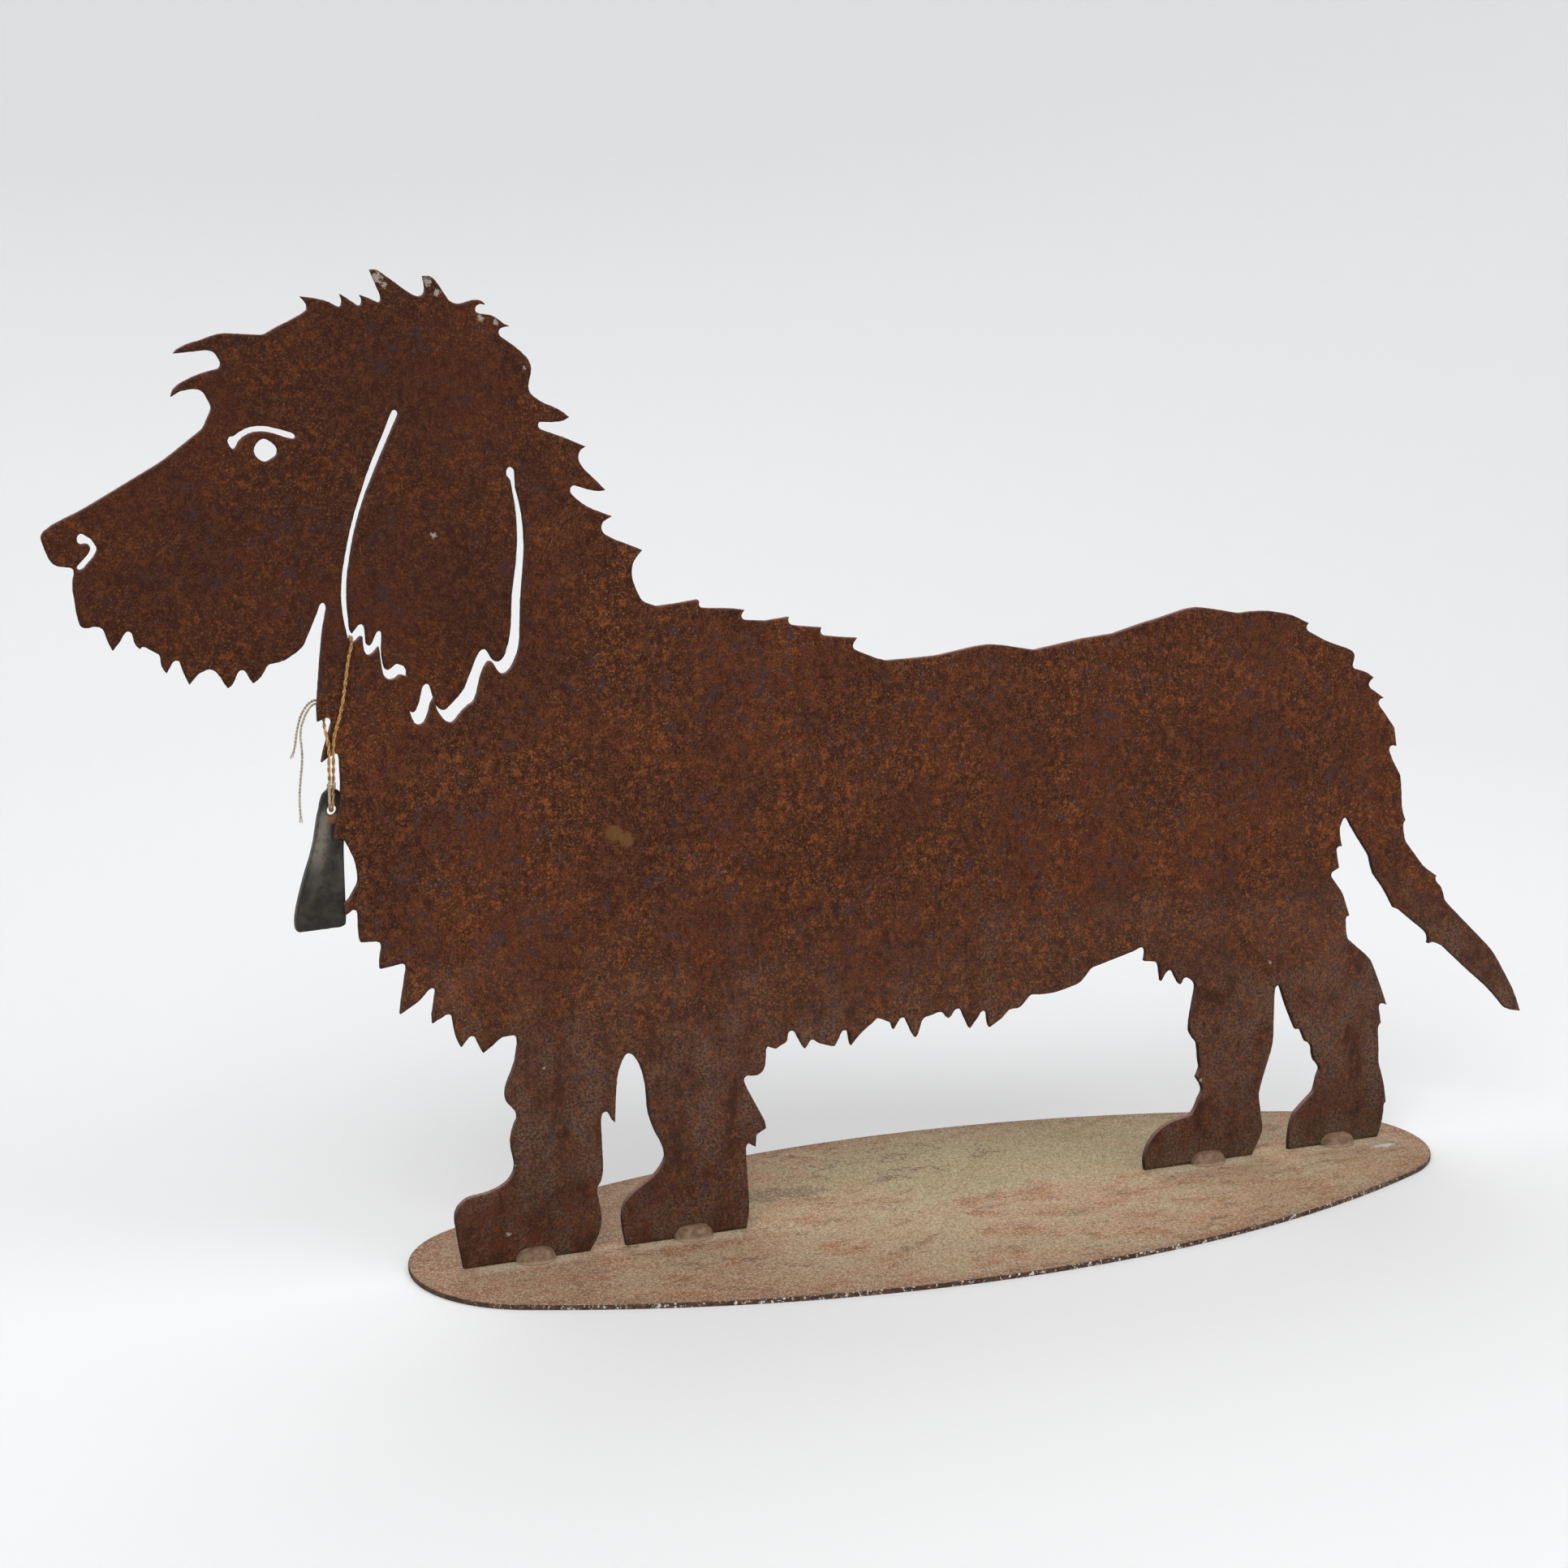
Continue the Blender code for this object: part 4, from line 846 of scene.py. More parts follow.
@dataclass(frozen=True)
class DustedWeld(Finish):
    """Weld metal dulled by rust and dust, paler along its foot."""

    metal: Colour = (0.165, 0.095, 0.060)
    dust: Colour = (0.275, 0.180, 0.120)
    crease: Colour = (0.50, 0.40, 0.28)

    def paint(self, graph: Graph, effects: Effects, place: Socket,
              shader: bpy.types.Node) -> None:
        """Metal and dust, a pale crease and fine rust spots."""
        cloud = graph.noise(place, 260.0, 5.0, 0.65)
        colour = graph.mix(graph.fade(cloud, 0.36, 0.64), self.metal, self.dust)
        colour = graph.tint(colour, self.crease, graph.value("crease"), 0.75)
        colour = graph.tint(colour, self.metal, effects.spots(graph, place, 900.0, 0.58, 0.1), 0.5)
        height = graph.use(effects.grain, "Height", Vector=place, Scale=520.0)
        self.surface(graph, shader, colour, graph.slope(cloud, 0.25, 0.55), height, 0.5, 0.0004)


@dataclass(frozen=True)
class WornTag(Finish):
    """Dark olive-grey metal, paler grey on the raised part from a painted highlight with some wear,
    and rusty at the hole.
    """

    dark: Colour = (0.012, 0.0100, 0.0076)
    body: Colour = (0.026, 0.0205, 0.0150)
    # Pale grey of the wear, also used for the painted highlight on the ridge.
    worn: Colour = (0.175, 0.155, 0.125)
    rust: Colour = (0.23, 0.085, 0.026)
    lip: Point = (-0.3342, 0.0021, 0.2385)
    ridge_x: float = -0.3398
    ridge_z: float = 0.229
    ridge_lean: float = 0.22
    veil: Cloud = Cloud(75.0, 4.0, 0.6, 0.46, 0.66)

    def paint(self, graph: Graph, effects: Effects, place: Socket,
              shader: bpy.types.Node) -> None:
        """Dark metal, the paler ridge that leans across it (painted highlight with some wear), dark
        edges and a rusty hole.
        """
        x, _, z = graph.axes(place)
        cloud = graph.noise(place, 210.0, 5.0, 0.6, 0.6)
        colour = graph.mix(graph.fade(cloud, 0.38, 0.64), self.dark, self.body)
        # Painted highlight along the raised ridge, with some wear: a pale band that leans across
        # the tag.
        off_ridge = graph.slope(graph.sums("SUBTRACT", z, self.ridge_z), -self.ridge_lean,
                                graph.sums("SUBTRACT", x, self.ridge_x))
        off_ridge = graph.slope(graph.sums("SUBTRACT", cloud, 0.5), 0.012,
                                graph.sums("ABSOLUTE", off_ridge))
        ridge_highlight = graph.times(graph.fade(off_ridge, 0.0056, 0.0004), graph.fade(z, 0.205, 0.224))
        ridge_highlight = graph.times(ridge_highlight, graph.fade(z, 0.247, 0.238))
        colour = graph.tint(colour, self.worn, ridge_highlight, 0.85)
        colour = graph.tint(colour, self.worn, self.veil.mask(graph, place), 0.16)
        colour = graph.tint(colour, self.dark, graph.value("rim"), 0.55)
        lip = effects.patch(graph, place, self.lip, 0.0030, 0.5)
        colour = graph.tint(colour, self.rust, lip, 0.7)
        colour = graph.tint(colour, self.rust, effects.spots(graph, place, 620.0, 0.62, 0.08), 0.35)
        scratch = graph.noise(graph.squeeze(place, (1.0, 1.0, 0.15)), 700.0, 2.0, 0.5)
        self.surface(graph, shader, colour, graph.slope(cloud, 0.35, 0.30),
                     graph.slope(scratch, 0.35, cloud), 0.5, 0.0006)


@dataclass(frozen=True)
class JuteFibre(Finish):
    """Twisted plant fibre, with painted shade in the gaps between its strands."""

    light: Colour = (0.66, 0.39, 0.135)
    # Dark tone of the fibre, also used for the painted shade in the grooves.
    shade: Colour = (0.19, 0.085, 0.022)
    stain: Colour = (0.40, 0.135, 0.030)
    stained_below: float = 0.2465
    mottle: Cloud = Cloud(900.0, 4.0, 0.65, 0.36, 0.62)

    def paint(self, graph: Graph, effects: Effects, place: Socket,
              shader: bpy.types.Node) -> None:
        """Fibre, painted shade in its grooves, and the rust it has soaked up low down."""
        colour = graph.mix(self.mottle.mask(graph, place), self.shade, self.light)
        # Painted shade in the grooves and between the plies.
        colour = graph.tint(colour, self.shade, graph.value("groove"), 0.55)
        low = effects.dust(graph, place, self.stained_below, 0.004, 400.0)
        colour = graph.tint(colour, self.stain, low, 0.8)
        self.surface(graph, shader, colour, 0.85, graph.noise(place, 3200.0, 3.0, 0.6), 0.4,
                     0.00012)


class Piece:
    """A piece of the dog: its name, its slot, the CAD nodes it stands for, and its form."""

    name: str
    slot: Slot
    nodes: tuple[str, ...]

    def form(self) -> Shell:
        """The piece's surface. Each piece has its own."""
        raise NotImplementedError

    def build(self, finish: bpy.types.Material) -> bpy.types.Object:
        """Makes the piece.

        Args:
            finish: Its material.

        Returns:
            The piece.
        """
        return self.form().build(self.name, finish, self.slot, *self.nodes)


@dataclass
class Pendant(Piece):
    """The worn blade that hangs from the twine: rounded edges and a flared hole."""

    name: str = "worn_pendant"
    slot: Slot = Slot.TAG
    nodes: tuple[str, ...] = ("tag",)
    outline: tuple[tuple[float, float], ...] = (
        (-339, 180.9), (-349, 180.5), (-351.8, 180.4), (-353.1, 181.3), (-353.6, 183.2),
        (-353.7, 186.2), (-352.9, 191.2), (-350.9, 199.2), (-348.2, 208.2), (-345.5, 216.2),
        (-343.4, 224.2), (-342.4, 230.2), (-341.6, 234.7), (-340.4, 240), (-339, 245.3),
        (-338, 247.3), (-336, 249), (-333.5, 249.6), (-330.9, 248.9), (-329, 246),
        (-328.3, 240), (-328.4, 230), (-329, 218), (-329, 200), (-329, 184), (-329.4, 182.3),
        (-330.8, 181.5))
    hole_at: tuple[float, float] = (-334.2, 239.2)
    hole_radius: float = 2.5
    flare: float = 1.0
    edge: float = 1.3
    front: float = 2.1
    thickness: float = 5.0

    def ring(self) -> np.ndarray:
        """The outline as a smooth closed line, from its first point round to it again."""
        given = np.array(self.outline, float)
        line = smooth_line(np.vstack([given[-2:], given, given[:3]]), 0.35)
        far = np.linalg.norm(line - given[0], axis=1)
        start = np.argmin(far)
        return line[start:start + 20 + np.argmin(far[start + 20:])]

    def form(self) -> Shell:
        """One closed profile on each ray from the hole's centre to the outline.

        It goes round the outer edge, across the front, down the flared hole and back across
        the rear.
        """
        centre = np.array(self.hole_at)
        ray = self.ring() - centre
        far = np.linalg.norm(ray, axis=1)[:, None]
        ray = unit(ray)
        turn = np.linspace(0, math.pi / 2, 6)
        drawn_in, down = self.edge * (1 - np.sin(turn)), self.edge * (1 - np.cos(turn))
        across = np.linspace(0.04, 0.96, 22)
        flared = self.flare * np.array([0.0, 0.25, 0.6, 1.0])
        rim = self.hole_radius + self.flare
        face = (far - self.edge) * (1 - across) + rim * across
        bore = np.broadcast_to(rim - flared, (len(far), 4))
        radius = np.concatenate([far - drawn_in[::-1], face, bore, bore[:, ::-1], face[:, ::-1],
                                 far - drawn_in], axis=1)
        radius = np.maximum(radius, self.hole_radius)
        depth = np.concatenate([down[::-1], 0 * across, flared, self.thickness - flared[::-1],
                                self.thickness + 0 * across, self.thickness - down])
        flat = centre + ray[:, None, :] * radius[:, :, None]
        y = np.broadcast_to(self.front + depth, radius.shape)
        surface = np.stack([flat[..., 0], y, flat[..., 1]], axis=-1)
        worn = ripple(surface, 22.0, 21) * 0.22 + ripple(surface, 6.0, 22) * 0.07
        surface[..., 1] += np.clip(worn + 0.1, 0, 0.5) * np.where(
            depth < self.thickness / 2, 1.0, -1.0)
        surface[..., [0, 2]] -= (ripple(surface, 5.0, 23) * 0.10)[..., None] * ray[:, None]
        near_edge = np.exp(-np.arange(len(across)) * 0.9)
        rounded = np.concatenate([np.ones(6), near_edge, np.zeros(8), near_edge[::-1], np.ones(6)])
        shell = Shell()
        shell.grid(over_soles(surface), close_rows=True, close_columns=True,
                   rim=np.broadcast_to(rounded, radius.shape))
        return shell


@dataclass
class Twine(Piece):
    """A length of two-ply twine with stray fibres, along a route in millimetres."""

    nodes: tuple[str, ...]
    route: tuple[Point, ...]
    length: float
    diameter: float
    end: End
    seed: int
    slot: Slot = Slot.TWINE
    on_it: tuple[bpy.types.Object, ...] = ()
    pitch: float = 8.5
    sides: int = 12
    ply_share: float = 0.26
    twist_per_mm: float = 4.4
    loose_mm: float = 3.5
    loose_reach: float = 0.0006
    fuzz_per_mm: float = 4.5
    fibre_mm: tuple[float, float] = (0.4, 1.35)
    fibre_radius: float = 0.000045

    def centreline(self, step: float = 0.3) -> np.ndarray:
        """The twine's line in metres, smooth through its route."""
        return over_soles(smooth_line(np.array(self.route, float), step))

    def strands(self, shell: Shell, line: np.ndarray) -> None:
        """Two plies that wind about the line, each a tube with three soft ridges.

        A ply's centre circles the line once a pitch. Its skin is a circle about that centre,
        swollen by a cosine of three times the angle that itself turns with the length.

        Args:
            shell: Where the tubes go.
            line: The twine's line.
        """
        _, across, beside = sides_of(line)
        run = run_along(line) / MM
        size = self.diameter * self.ply_share
        frayed = 1.0 if self.end is End.FRAYED else 0.0
        loose = frayed * np.clip(1 - (run[-1] - run) / self.loose_mm, 0, 1)
        angle = turns(self.sides)
        for ply in (0.0, math.pi):
            wind = 2 * math.pi * run / self.pitch + ply
            reach = (size + self.loose_reach * loose ** 2)[:, None]
            centre = line + reach * (np.cos(wind)[:, None] * across
                                     + np.sin(wind)[:, None] * beside)
            spin = angle[None, :] + self.twist_per_mm * run[:, None]
            swell = 1 + 0.10 * np.cos(3 * spin) + 0.12 * ripple(centre, 0.0022, self.seed)[:, None]
            swell = swell * (1 - 0.45 * loose)[:, None] * size
            # Painted shade between the two plies and in the valleys of each ply's ridges.
            seam = 0.5 - 0.5 * np.cos(angle[None, :] - wind[:, None])
            groove = 0.30 * (0.5 - 0.5 * np.cos(3 * spin)) + 0.85 * seam ** 2
            shell.grid(tube(centre, across, beside, swell), close_columns=True, cap=True,
                       groove=groove)

    def fibres(self, shell: Shell, line: np.ndarray) -> None:
        """Stray fibres: thin three-sided tapers that leave the twine and curl.

        Each is a quadratic path: a place on the skin, plus a slant times the share of its length,
        plus a curl times that share squared.

        Args:
            shell: Where they go.
            line: The twine's line.
        """
        chance = np.random.default_rng(self.seed)
        ahead, across, beside = sides_of(line)
        count = int(self.length / MM * self.fuzz_per_mm)
        at = chance.integers(2, len(line) - 2, count)
        if self.end is End.FRAYED:
            tail = count // 4
            at[:tail] = len(line) - 1 - chance.integers(0, 8, tail)
        turn = chance.uniform(0, 2 * math.pi, count)[:, None]
        out = np.cos(turn) * across[at] + np.sin(turn) * beside[at]
        base = line[at] + out * self.diameter * 0.34
        way = np.where(chance.random((count, 1)) < 0.6, 1.0, -1.0)
        if self.end is End.FRAYED:
            way[:tail] = 1.0
        slant = out * chance.uniform(0.15, 0.7, (count, 1)) + ahead[at] * way
        curl = np.clip(chance.normal(0, 0.5, (count, 3)), -0.9, 0.9)
        length = chance.uniform(*self.fibre_mm, (count, 1)) * MM
        share = np.linspace(0, 1, 5)[None, :, None]
        path = (base[:, None, :] + (slant * length)[:, None, :] * share
                + (curl * length * 0.6)[:, None, :] * share ** 2)
        thick = self.fibre_radius * (1 - 0.75 * share)
        side = unit(np.cross(slant, chance.normal(size=(count, 3))))
        other = unit(np.cross(slant, side))
        angle = (np.array([0, 2, 4]) * math.pi / 3)[:, None]
        skin = (np.cos(angle) * side[:, None, None, :] + np.sin(angle) * other[:, None, None, :])
        tubes = path[:, :, None, :] + thick[..., None] * skin
        rings, sides = tubes.shape[1:3]
        quads = quads_of(rings, sides, close_rows=False, close_columns=True)
        caps = np.array([[2, 1, 0], [0, 1, 2]]) + np.array([[0], [(rings - 1) * sides]])
        starts = (np.arange(count) * rings * sides)[:, None, None]
        first = shell.count
        shell.add(tubes.reshape(-1, 3), (quads[None] + starts).reshape(-1, 4),
                  groove=np.zeros(count * rings * sides))
        shell.faces.extend(((caps[None] + starts).reshape(-1, 3) + first).tolist())

    @property
    def name(self) -> str:
        """The twine's name, from its node's."""
        return self.nodes[0] + "_plies"

    def form(self) -> Shell:
        """The plies and the stray fibres."""
        line = self.centreline()
        shell = Shell()
        self.strands(shell, line)
        self.fibres(shell, line)
        return shell

    def build(self, finish: bpy.types.Material) -> bpy.types.Object:
        """Args:
            finish: Its material.

        Returns:
            The piece.
        """
        piece = super().build(finish)
        line = self.centreline()
        LOG.info("%s: %.1f mm along its line", self.name, run_along(line)[-1] / MM)
        return piece


@dataclass
class Knot(Piece):
    """The knot behind the dog: a trefoil of twine pulled tight."""

    name: str = "pulled_knot"
    slot: Slot = Slot.TWINE
    nodes: tuple[str, ...] = ("twine_knot",)
    at: Point = (-336.5, 4.4, 291.5)
    size: Point = (4.8, 4.2, 4.4)
    tube: float = 0.78

    def form(self) -> Shell:
        """A tube round the closed curve sin t + 2 sin 2t, cos t - 2 cos 2t, -sin 3t."""
        t = turns(160)
        curve = np.column_stack([(np.sin(t) + 2 * np.sin(2 * t)) / 3, -np.sin(3 * t),
                                 (np.cos(t) - 2 * np.cos(2 * t)) / 3])
        line = curve * (np.array(self.size) / 2 - self.tube) + np.array(self.at)
        ahead = unit(np.roll(line, -1, axis=0) - np.roll(line, 1, axis=0))
        up = unit(line - np.array(self.at) + 1e-6)
        across = unit(up - ahead * (ahead * up).sum(axis=1)[:, None])
        spin = turns(14)[None, :] + 14 * t[:, None]
        swell = self.tube * (1 + 0.10 * np.cos(2 * spin))
        shell = Shell()
        # Painted shade in the valleys between the twists.
        shell.grid(over_soles(tube(line, across, np.cross(ahead, across), swell)),
                   close_rows=True, close_columns=True, groove=0.5 - 0.5 * np.cos(2 * spin))
        return shell


@dataclass
class Hitch(Piece):
    """Where the loop is hitched to the tag: a second strand through the hole and a wrap above."""

    name: str = "tag_hitch"
    slot: Slot = Slot.TWINE
    nodes: tuple[str, ...] = ()
    strand: tuple[Point, ...] = (
        (-335.9, -2.0, 254.6), (-336.1, -1.4, 251.5), (-336.0, -0.3, 247.0), (-335.8, 0.5, 243.5),
        (-335.5, 1.6, 241.3), (-335.1, 3.1, 240.1), (-334.9, 4.6, 239.9))
    strand_radius: float = 0.66
    wrap_at: Point = (-335.1, -1.25, 251.1)
    wrap_size: tuple[float, float] = (1.75, 1.2)
    wrap_rise: float = 0.95
    wrap_turns: float = 2.2
    wrap_radius: float = 0.46

    @staticmethod
    def skin(shell: Shell, line: np.ndarray, radius: float) -> None:
        """A tube with three ridges that wind along it, on a line in millimetres."""
        line = over_soles(line)
        _, across, beside = sides_of(line)
        spin = turns(14)[None, :] + 1.6 * run_along(line)[:, None] / MM
        swell = radius * MM * (1 + 0.12 * np.cos(3 * spin))
        # Painted shade in the valleys between the twists.
        shell.grid(tube(line, across, beside, swell), close_columns=True, cap=True,
                   groove=0.6 - 0.6 * np.cos(3 * spin))

    def form(self) -> Shell:
        """The strand, and the wrap as a flattened helix."""
        shell = Shell()
        self.skin(shell, smooth_line(np.array(self.strand, float), 0.3), self.strand_radius)
        turn = np.linspace(0, 2 * math.pi * self.wrap_turns, 90)
        wrap = np.column_stack([self.wrap_size[0] * np.cos(turn), self.wrap_size[1] * np.sin(turn),
                                self.wrap_rise * turn / (2 * math.pi)]) + np.array(self.wrap_at)
        self.skin(shell, wrap, self.wrap_radius)
        return shell


FRONT_ROUTE: tuple[Point, ...] = (
    (-334.9, 3.9, 294.7), (-333.2, 3.7, 298.0), (-330.6, 3.4, 305.0), (-327.3, 3.4, 313.0),
    (-324.6, 3.5, 318.6), (-323.7, 2.9, 321.6), (-323.4, 1.5, 322.9), (-323.4, -0.7, 323.0),
    (-323.5, -2.5, 321.9), (-323.9, -3.1, 319.4), (-324.8, -2.75, 315.6), (-325.9, -2.7, 310.0),
    (-327.0, -2.65, 303.0), (-328.3, -2.65, 295.0), (-329.8, -2.65, 288.0), (-331.8, -2.7, 281.0),
    (-333.3, -2.8, 276.0), (-333.9, -2.8, 271.5), (-334.1, -2.75, 267.5), (-334.2, -2.6, 262.0),
    (-334.3, -2.2, 256.0), (-334.3, -1.1, 251.5), (-334.3, -0.1, 247.0), (-334.2, 0.6, 243.8),
    (-334.2, 1.7, 240.9), (-334.2, 3.4, 239.2), (-334.2, 5.2, 238.8), (-334.2, 6.9, 239.2),
    (-334.25, 8.3, 240.9), (-334.35, 8.7, 243.2))
BACK_ROUTE: tuple[Point, ...] = (
    (-336.6, 4.2, 288.6), (-336.7, 4.0, 286.5), (-336.9, 3.1, 284.2), (-337.2, 1.2, 281.8),
    (-337.4, -1.0, 279.6), (-337.2, -2.5, 277.0), (-336.6, -2.85, 274.0), (-336.2, -2.8, 270.0),
    (-336.3, -2.7, 265.0), (-336.3, -2.2, 260.5), (-335.9, -0.8, 256.2), (-335.4, 1.6, 252.8),
    (-335.0, 4.4, 251.3), (-334.8, 7.0, 250.4), (-334.6, 8.6, 247.8), (-334.4, 8.7, 244.4))
LONG_ROUTE: tuple[Point, ...] = (
    (-339.6, 4.0, 291.3), (-341.6, 3.4, 291.0), (-343.6, 2.6, 289.6), (-346.0, 1.9, 286.2),
    (-347.8, 1.4, 282.0), (-348.8, 1.0, 277.5), (-348.6, 0.7, 272.0), (-348.4, 0.5, 267.0),
    (-348.9, 0.3, 261.0), (-350.0, 0.2, 252.0), (-350.4, 0.0, 244.0), (-350.1, -0.2, 235.5))
SHORT_ROUTE: tuple[Point, ...] = (
    (-339.2, 4.6, 293.0), (-341.4, 4.8, 292.6), (-344.0, 4.4, 291.0), (-346.9, 3.9, 287.4),
    (-348.8, 3.4, 283.0), (-350.1, 3.0, 278.0), (-351.0, 2.6, 273.0), (-352.2, 2.2, 268.5),
    (-353.4, 2.0, 266.2))


def room_inside(loops: list[np.ndarray]) -> tuple[np.ndarray, np.ndarray]:
    """Which way is out, and how much room there is inwards, at each point of closed outlines.

    Out is square to the line between a point's two neighbours. The room is the radius of the
    largest circle that touches the point from inside: for each other point, its squared distance
    over twice its distance inwards, and the smallest of these.

    Args:
        loops: Outlines in metres, with the material on the same side of each.

    Returns:
        The outward directions and the room, for the points of all loops in order.
    """
    step = np.vstack([unit(np.roll(loop, -1, axis=0) - np.roll(loop, 1, axis=0)) for loop in loops])
    outward = np.column_stack([step[:, 1], -step[:, 0]])
    first = loops[0]
    turned = np.roll(first, -1, axis=0)
    if (first[:, 0] * turned[:, 1] - first[:, 1] * turned[:, 0]).sum() < 0:
        outward = -outward
    points = np.vstack(loops).astype(np.float32)
    room = np.empty(len(points))
    for start in range(0, len(points), 500):
        gap = points[None, :, :] - points[start:start + 500, None, :]
        depth = -(gap * outward[start:start + 500, None, :]).sum(axis=2)
        far = (gap ** 2).sum(axis=2)
        circle = np.where(depth > 1e-6, far / np.maximum(2 * depth, 1e-9), 1.0)
        room[start:start + 500] = circle.min(axis=1)
    return outward, room


def crossings(points: np.ndarray, loops: list[np.ndarray]) -> np.ndarray:
    """Which points lie inside: those with an odd number of outline edges to their right."""
    start = np.vstack(loops)
    end = np.vstack([np.roll(loop, -1, axis=0) for loop in loops])
    odd = np.zeros(len(points), bool)
    slope = (end[:, 0] - start[:, 0]) / np.where(end[:, 1] == start[:, 1], 1.0,
                                                 end[:, 1] - start[:, 1])
    for first in range(0, len(points), 2000):
        x, z = points[first:first + 2000, :1], points[first:first + 2000, 1:]
        spans = (start[:, 1] > z) != (end[:, 1] > z)
        right = x < start[:, 0] + slope * (z - start[:, 1])
        odd[first:first + 2000] = (spans & right).sum(axis=1) % 2 == 1
    return odd


@dataclass
class DogPlate(Piece):
    """The dog's sheet, with torch-rounded, slightly ragged edges."""

    name: str = "dog_sheet"
    slot: Slot = Slot.PLATE
    nodes: tuple[str, ...] = ("dog_plate",)
    spacing: float = 0.0012
    fine: float = 0.0015
    coarse_every: int = 3
    rounding: float = 0.00022
    ragged: float = 0.00010
    half: float = DOG_HALF_SHEET
    wall_rows: tuple[Point, ...] = (
        (-1.0, 1.0, 0.25), (-0.95, 0.35, 0.8), (-0.86, 0.0, 1.0), (0.0, 0.0, 1.0),
        (0.86, 0.0, 1.0), (0.95, 0.35, 0.8), (1.0, 1.0, 0.25))

    def outlines(self) -> list[np.ndarray]:
        """Reads the outline and cut-outs off the CAD sheet's shown face.

        Returns:
            Closed outlines of x and z, the silhouette first.
        """
        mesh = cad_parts[self.nodes[0]].data
        mesh.calc_loop_triangles()
        points = np.empty(len(mesh.vertices) * 3, np.float32)
        mesh.vertices.foreach_get("co", points)
        corners = np.empty(len(mesh.loop_triangles) * 3, np.int32)
        mesh.loop_triangles.foreach_get("vertices", corners)
        whole, index = np.unique(np.round(points.reshape(-1, 3), 6), axis=0, return_inverse=True)
        corners = index.reshape(-1)[corners].reshape(-1, 3)
        shown = corners[(whole[corners][:, :, 1] < -self.half * 0.99).all(axis=1)]
        edges = np.concatenate([shown[:, [0, 1]], shown[:, [1, 2]], shown[:, [2, 0]]])
        keys = {tuple(edge) for edge in edges.tolist()}
        follow = dict(edge for edge in keys if edge[::-1] not in keys)
        loops = []
        while follow:
            first, here = follow.popitem()
            chain = [first]
            while here != first:
                chain.append(here)
                here = follow.pop(here)
            loops.append(whole[chain][:, [0, 2]].astype(float))
        return sorted(loops, key=lambda loop: -np.ptp(loop[:, 0]))

    def evenly(self, loop: np.ndarray) -> np.ndarray:
        """The outline with points added so that none are further apart than the spacing."""
        step = np.roll(loop, -1, axis=0) - loop
        parts = np.maximum(1, np.ceil(np.linalg.norm(step, axis=1) / self.spacing)).astype(int)
        owner = np.repeat(np.arange(len(loop)), parts)
        share = (np.arange(parts.sum()) - np.repeat(np.cumsum(parts) - parts, parts)) / parts[owner]
        return loop[owner] + step[owner] * share[:, None]

    def infill(self, loops: list[np.ndarray]) -> tuple[np.ndarray, np.ndarray]:
        """Points inside the sheet: close together near its edges and wide apart elsewhere.

        Args:
            loops: The outlines.

        Returns:
            The points, and for each how near it is to an edge, from 0 to 1.
        """
        border = np.vstack(loops)
        low = border.min(axis=0)
        columns, rows = np.ceil((border.max(axis=0) - low) / self.fine).astype(int) + 1
        cell = ((border - low) / self.fine).astype(int)
        near = np.zeros((columns + 8, rows + 8), np.int8)
        near[cell[:, 0] + 4, cell[:, 1] + 4] = 4
        for level in (3, 2, 1):
            spread = np.zeros_like(near)
            for shift in ((0, 1), (0, -1), (1, 0), (-1, 0)):
                spread = np.maximum(spread, np.roll(near, shift, axis=(0, 1)))
            near = np.where((near == 0) & (spread > 0), level, near).astype(np.int8)
        i, j = np.meshgrid(np.arange(columns), np.arange(rows), indexing="ij")
        level = near[i + 4, j + 4]
        wanted = (level > 0) & (level < 4)
        wanted |= (level == 0) & (i % self.coarse_every == 0) & (j % self.coarse_every == 0)
        i, j, level = i[wanted], j[wanted], level[wanted]
        points = low + (np.column_stack([i + 0.5 + 0.25 * (j % 2), j + 0.5])) * self.fine
        kept = crossings(points, loops)
        return points[kept], level[kept] / 4.0

    def flats(self, flat: np.ndarray, edges: list[list[int]],
              loops: list[np.ndarray]) -> np.ndarray:
        """The triangles of a face, without those outside the outlines.

        Args:
            flat: The face's points, with those of the outlines first.
            edges: The outlines' edges, as numbers of points.
            loops: The outlines as they are on the face.

        Returns:
            One triangle per row.
        """
        found = delaunay_2d_cdt([Vector(p) for p in flat.tolist()], edges, [], 0, 1e-9)
        source = np.array([s[0] if s else -1 for s in found[3]])
        triangles = source[np.array([tuple(f) for f in found[2]])]
        triangles = triangles[(triangles >= 0).all(axis=1)]
        rim_only = (triangles < len(edges)).all(axis=1)
        kept = np.ones(len(triangles), bool)
        kept[rim_only] = crossings(flat[triangles[rim_only]].mean(axis=1), loops)
        return triangles[kept]

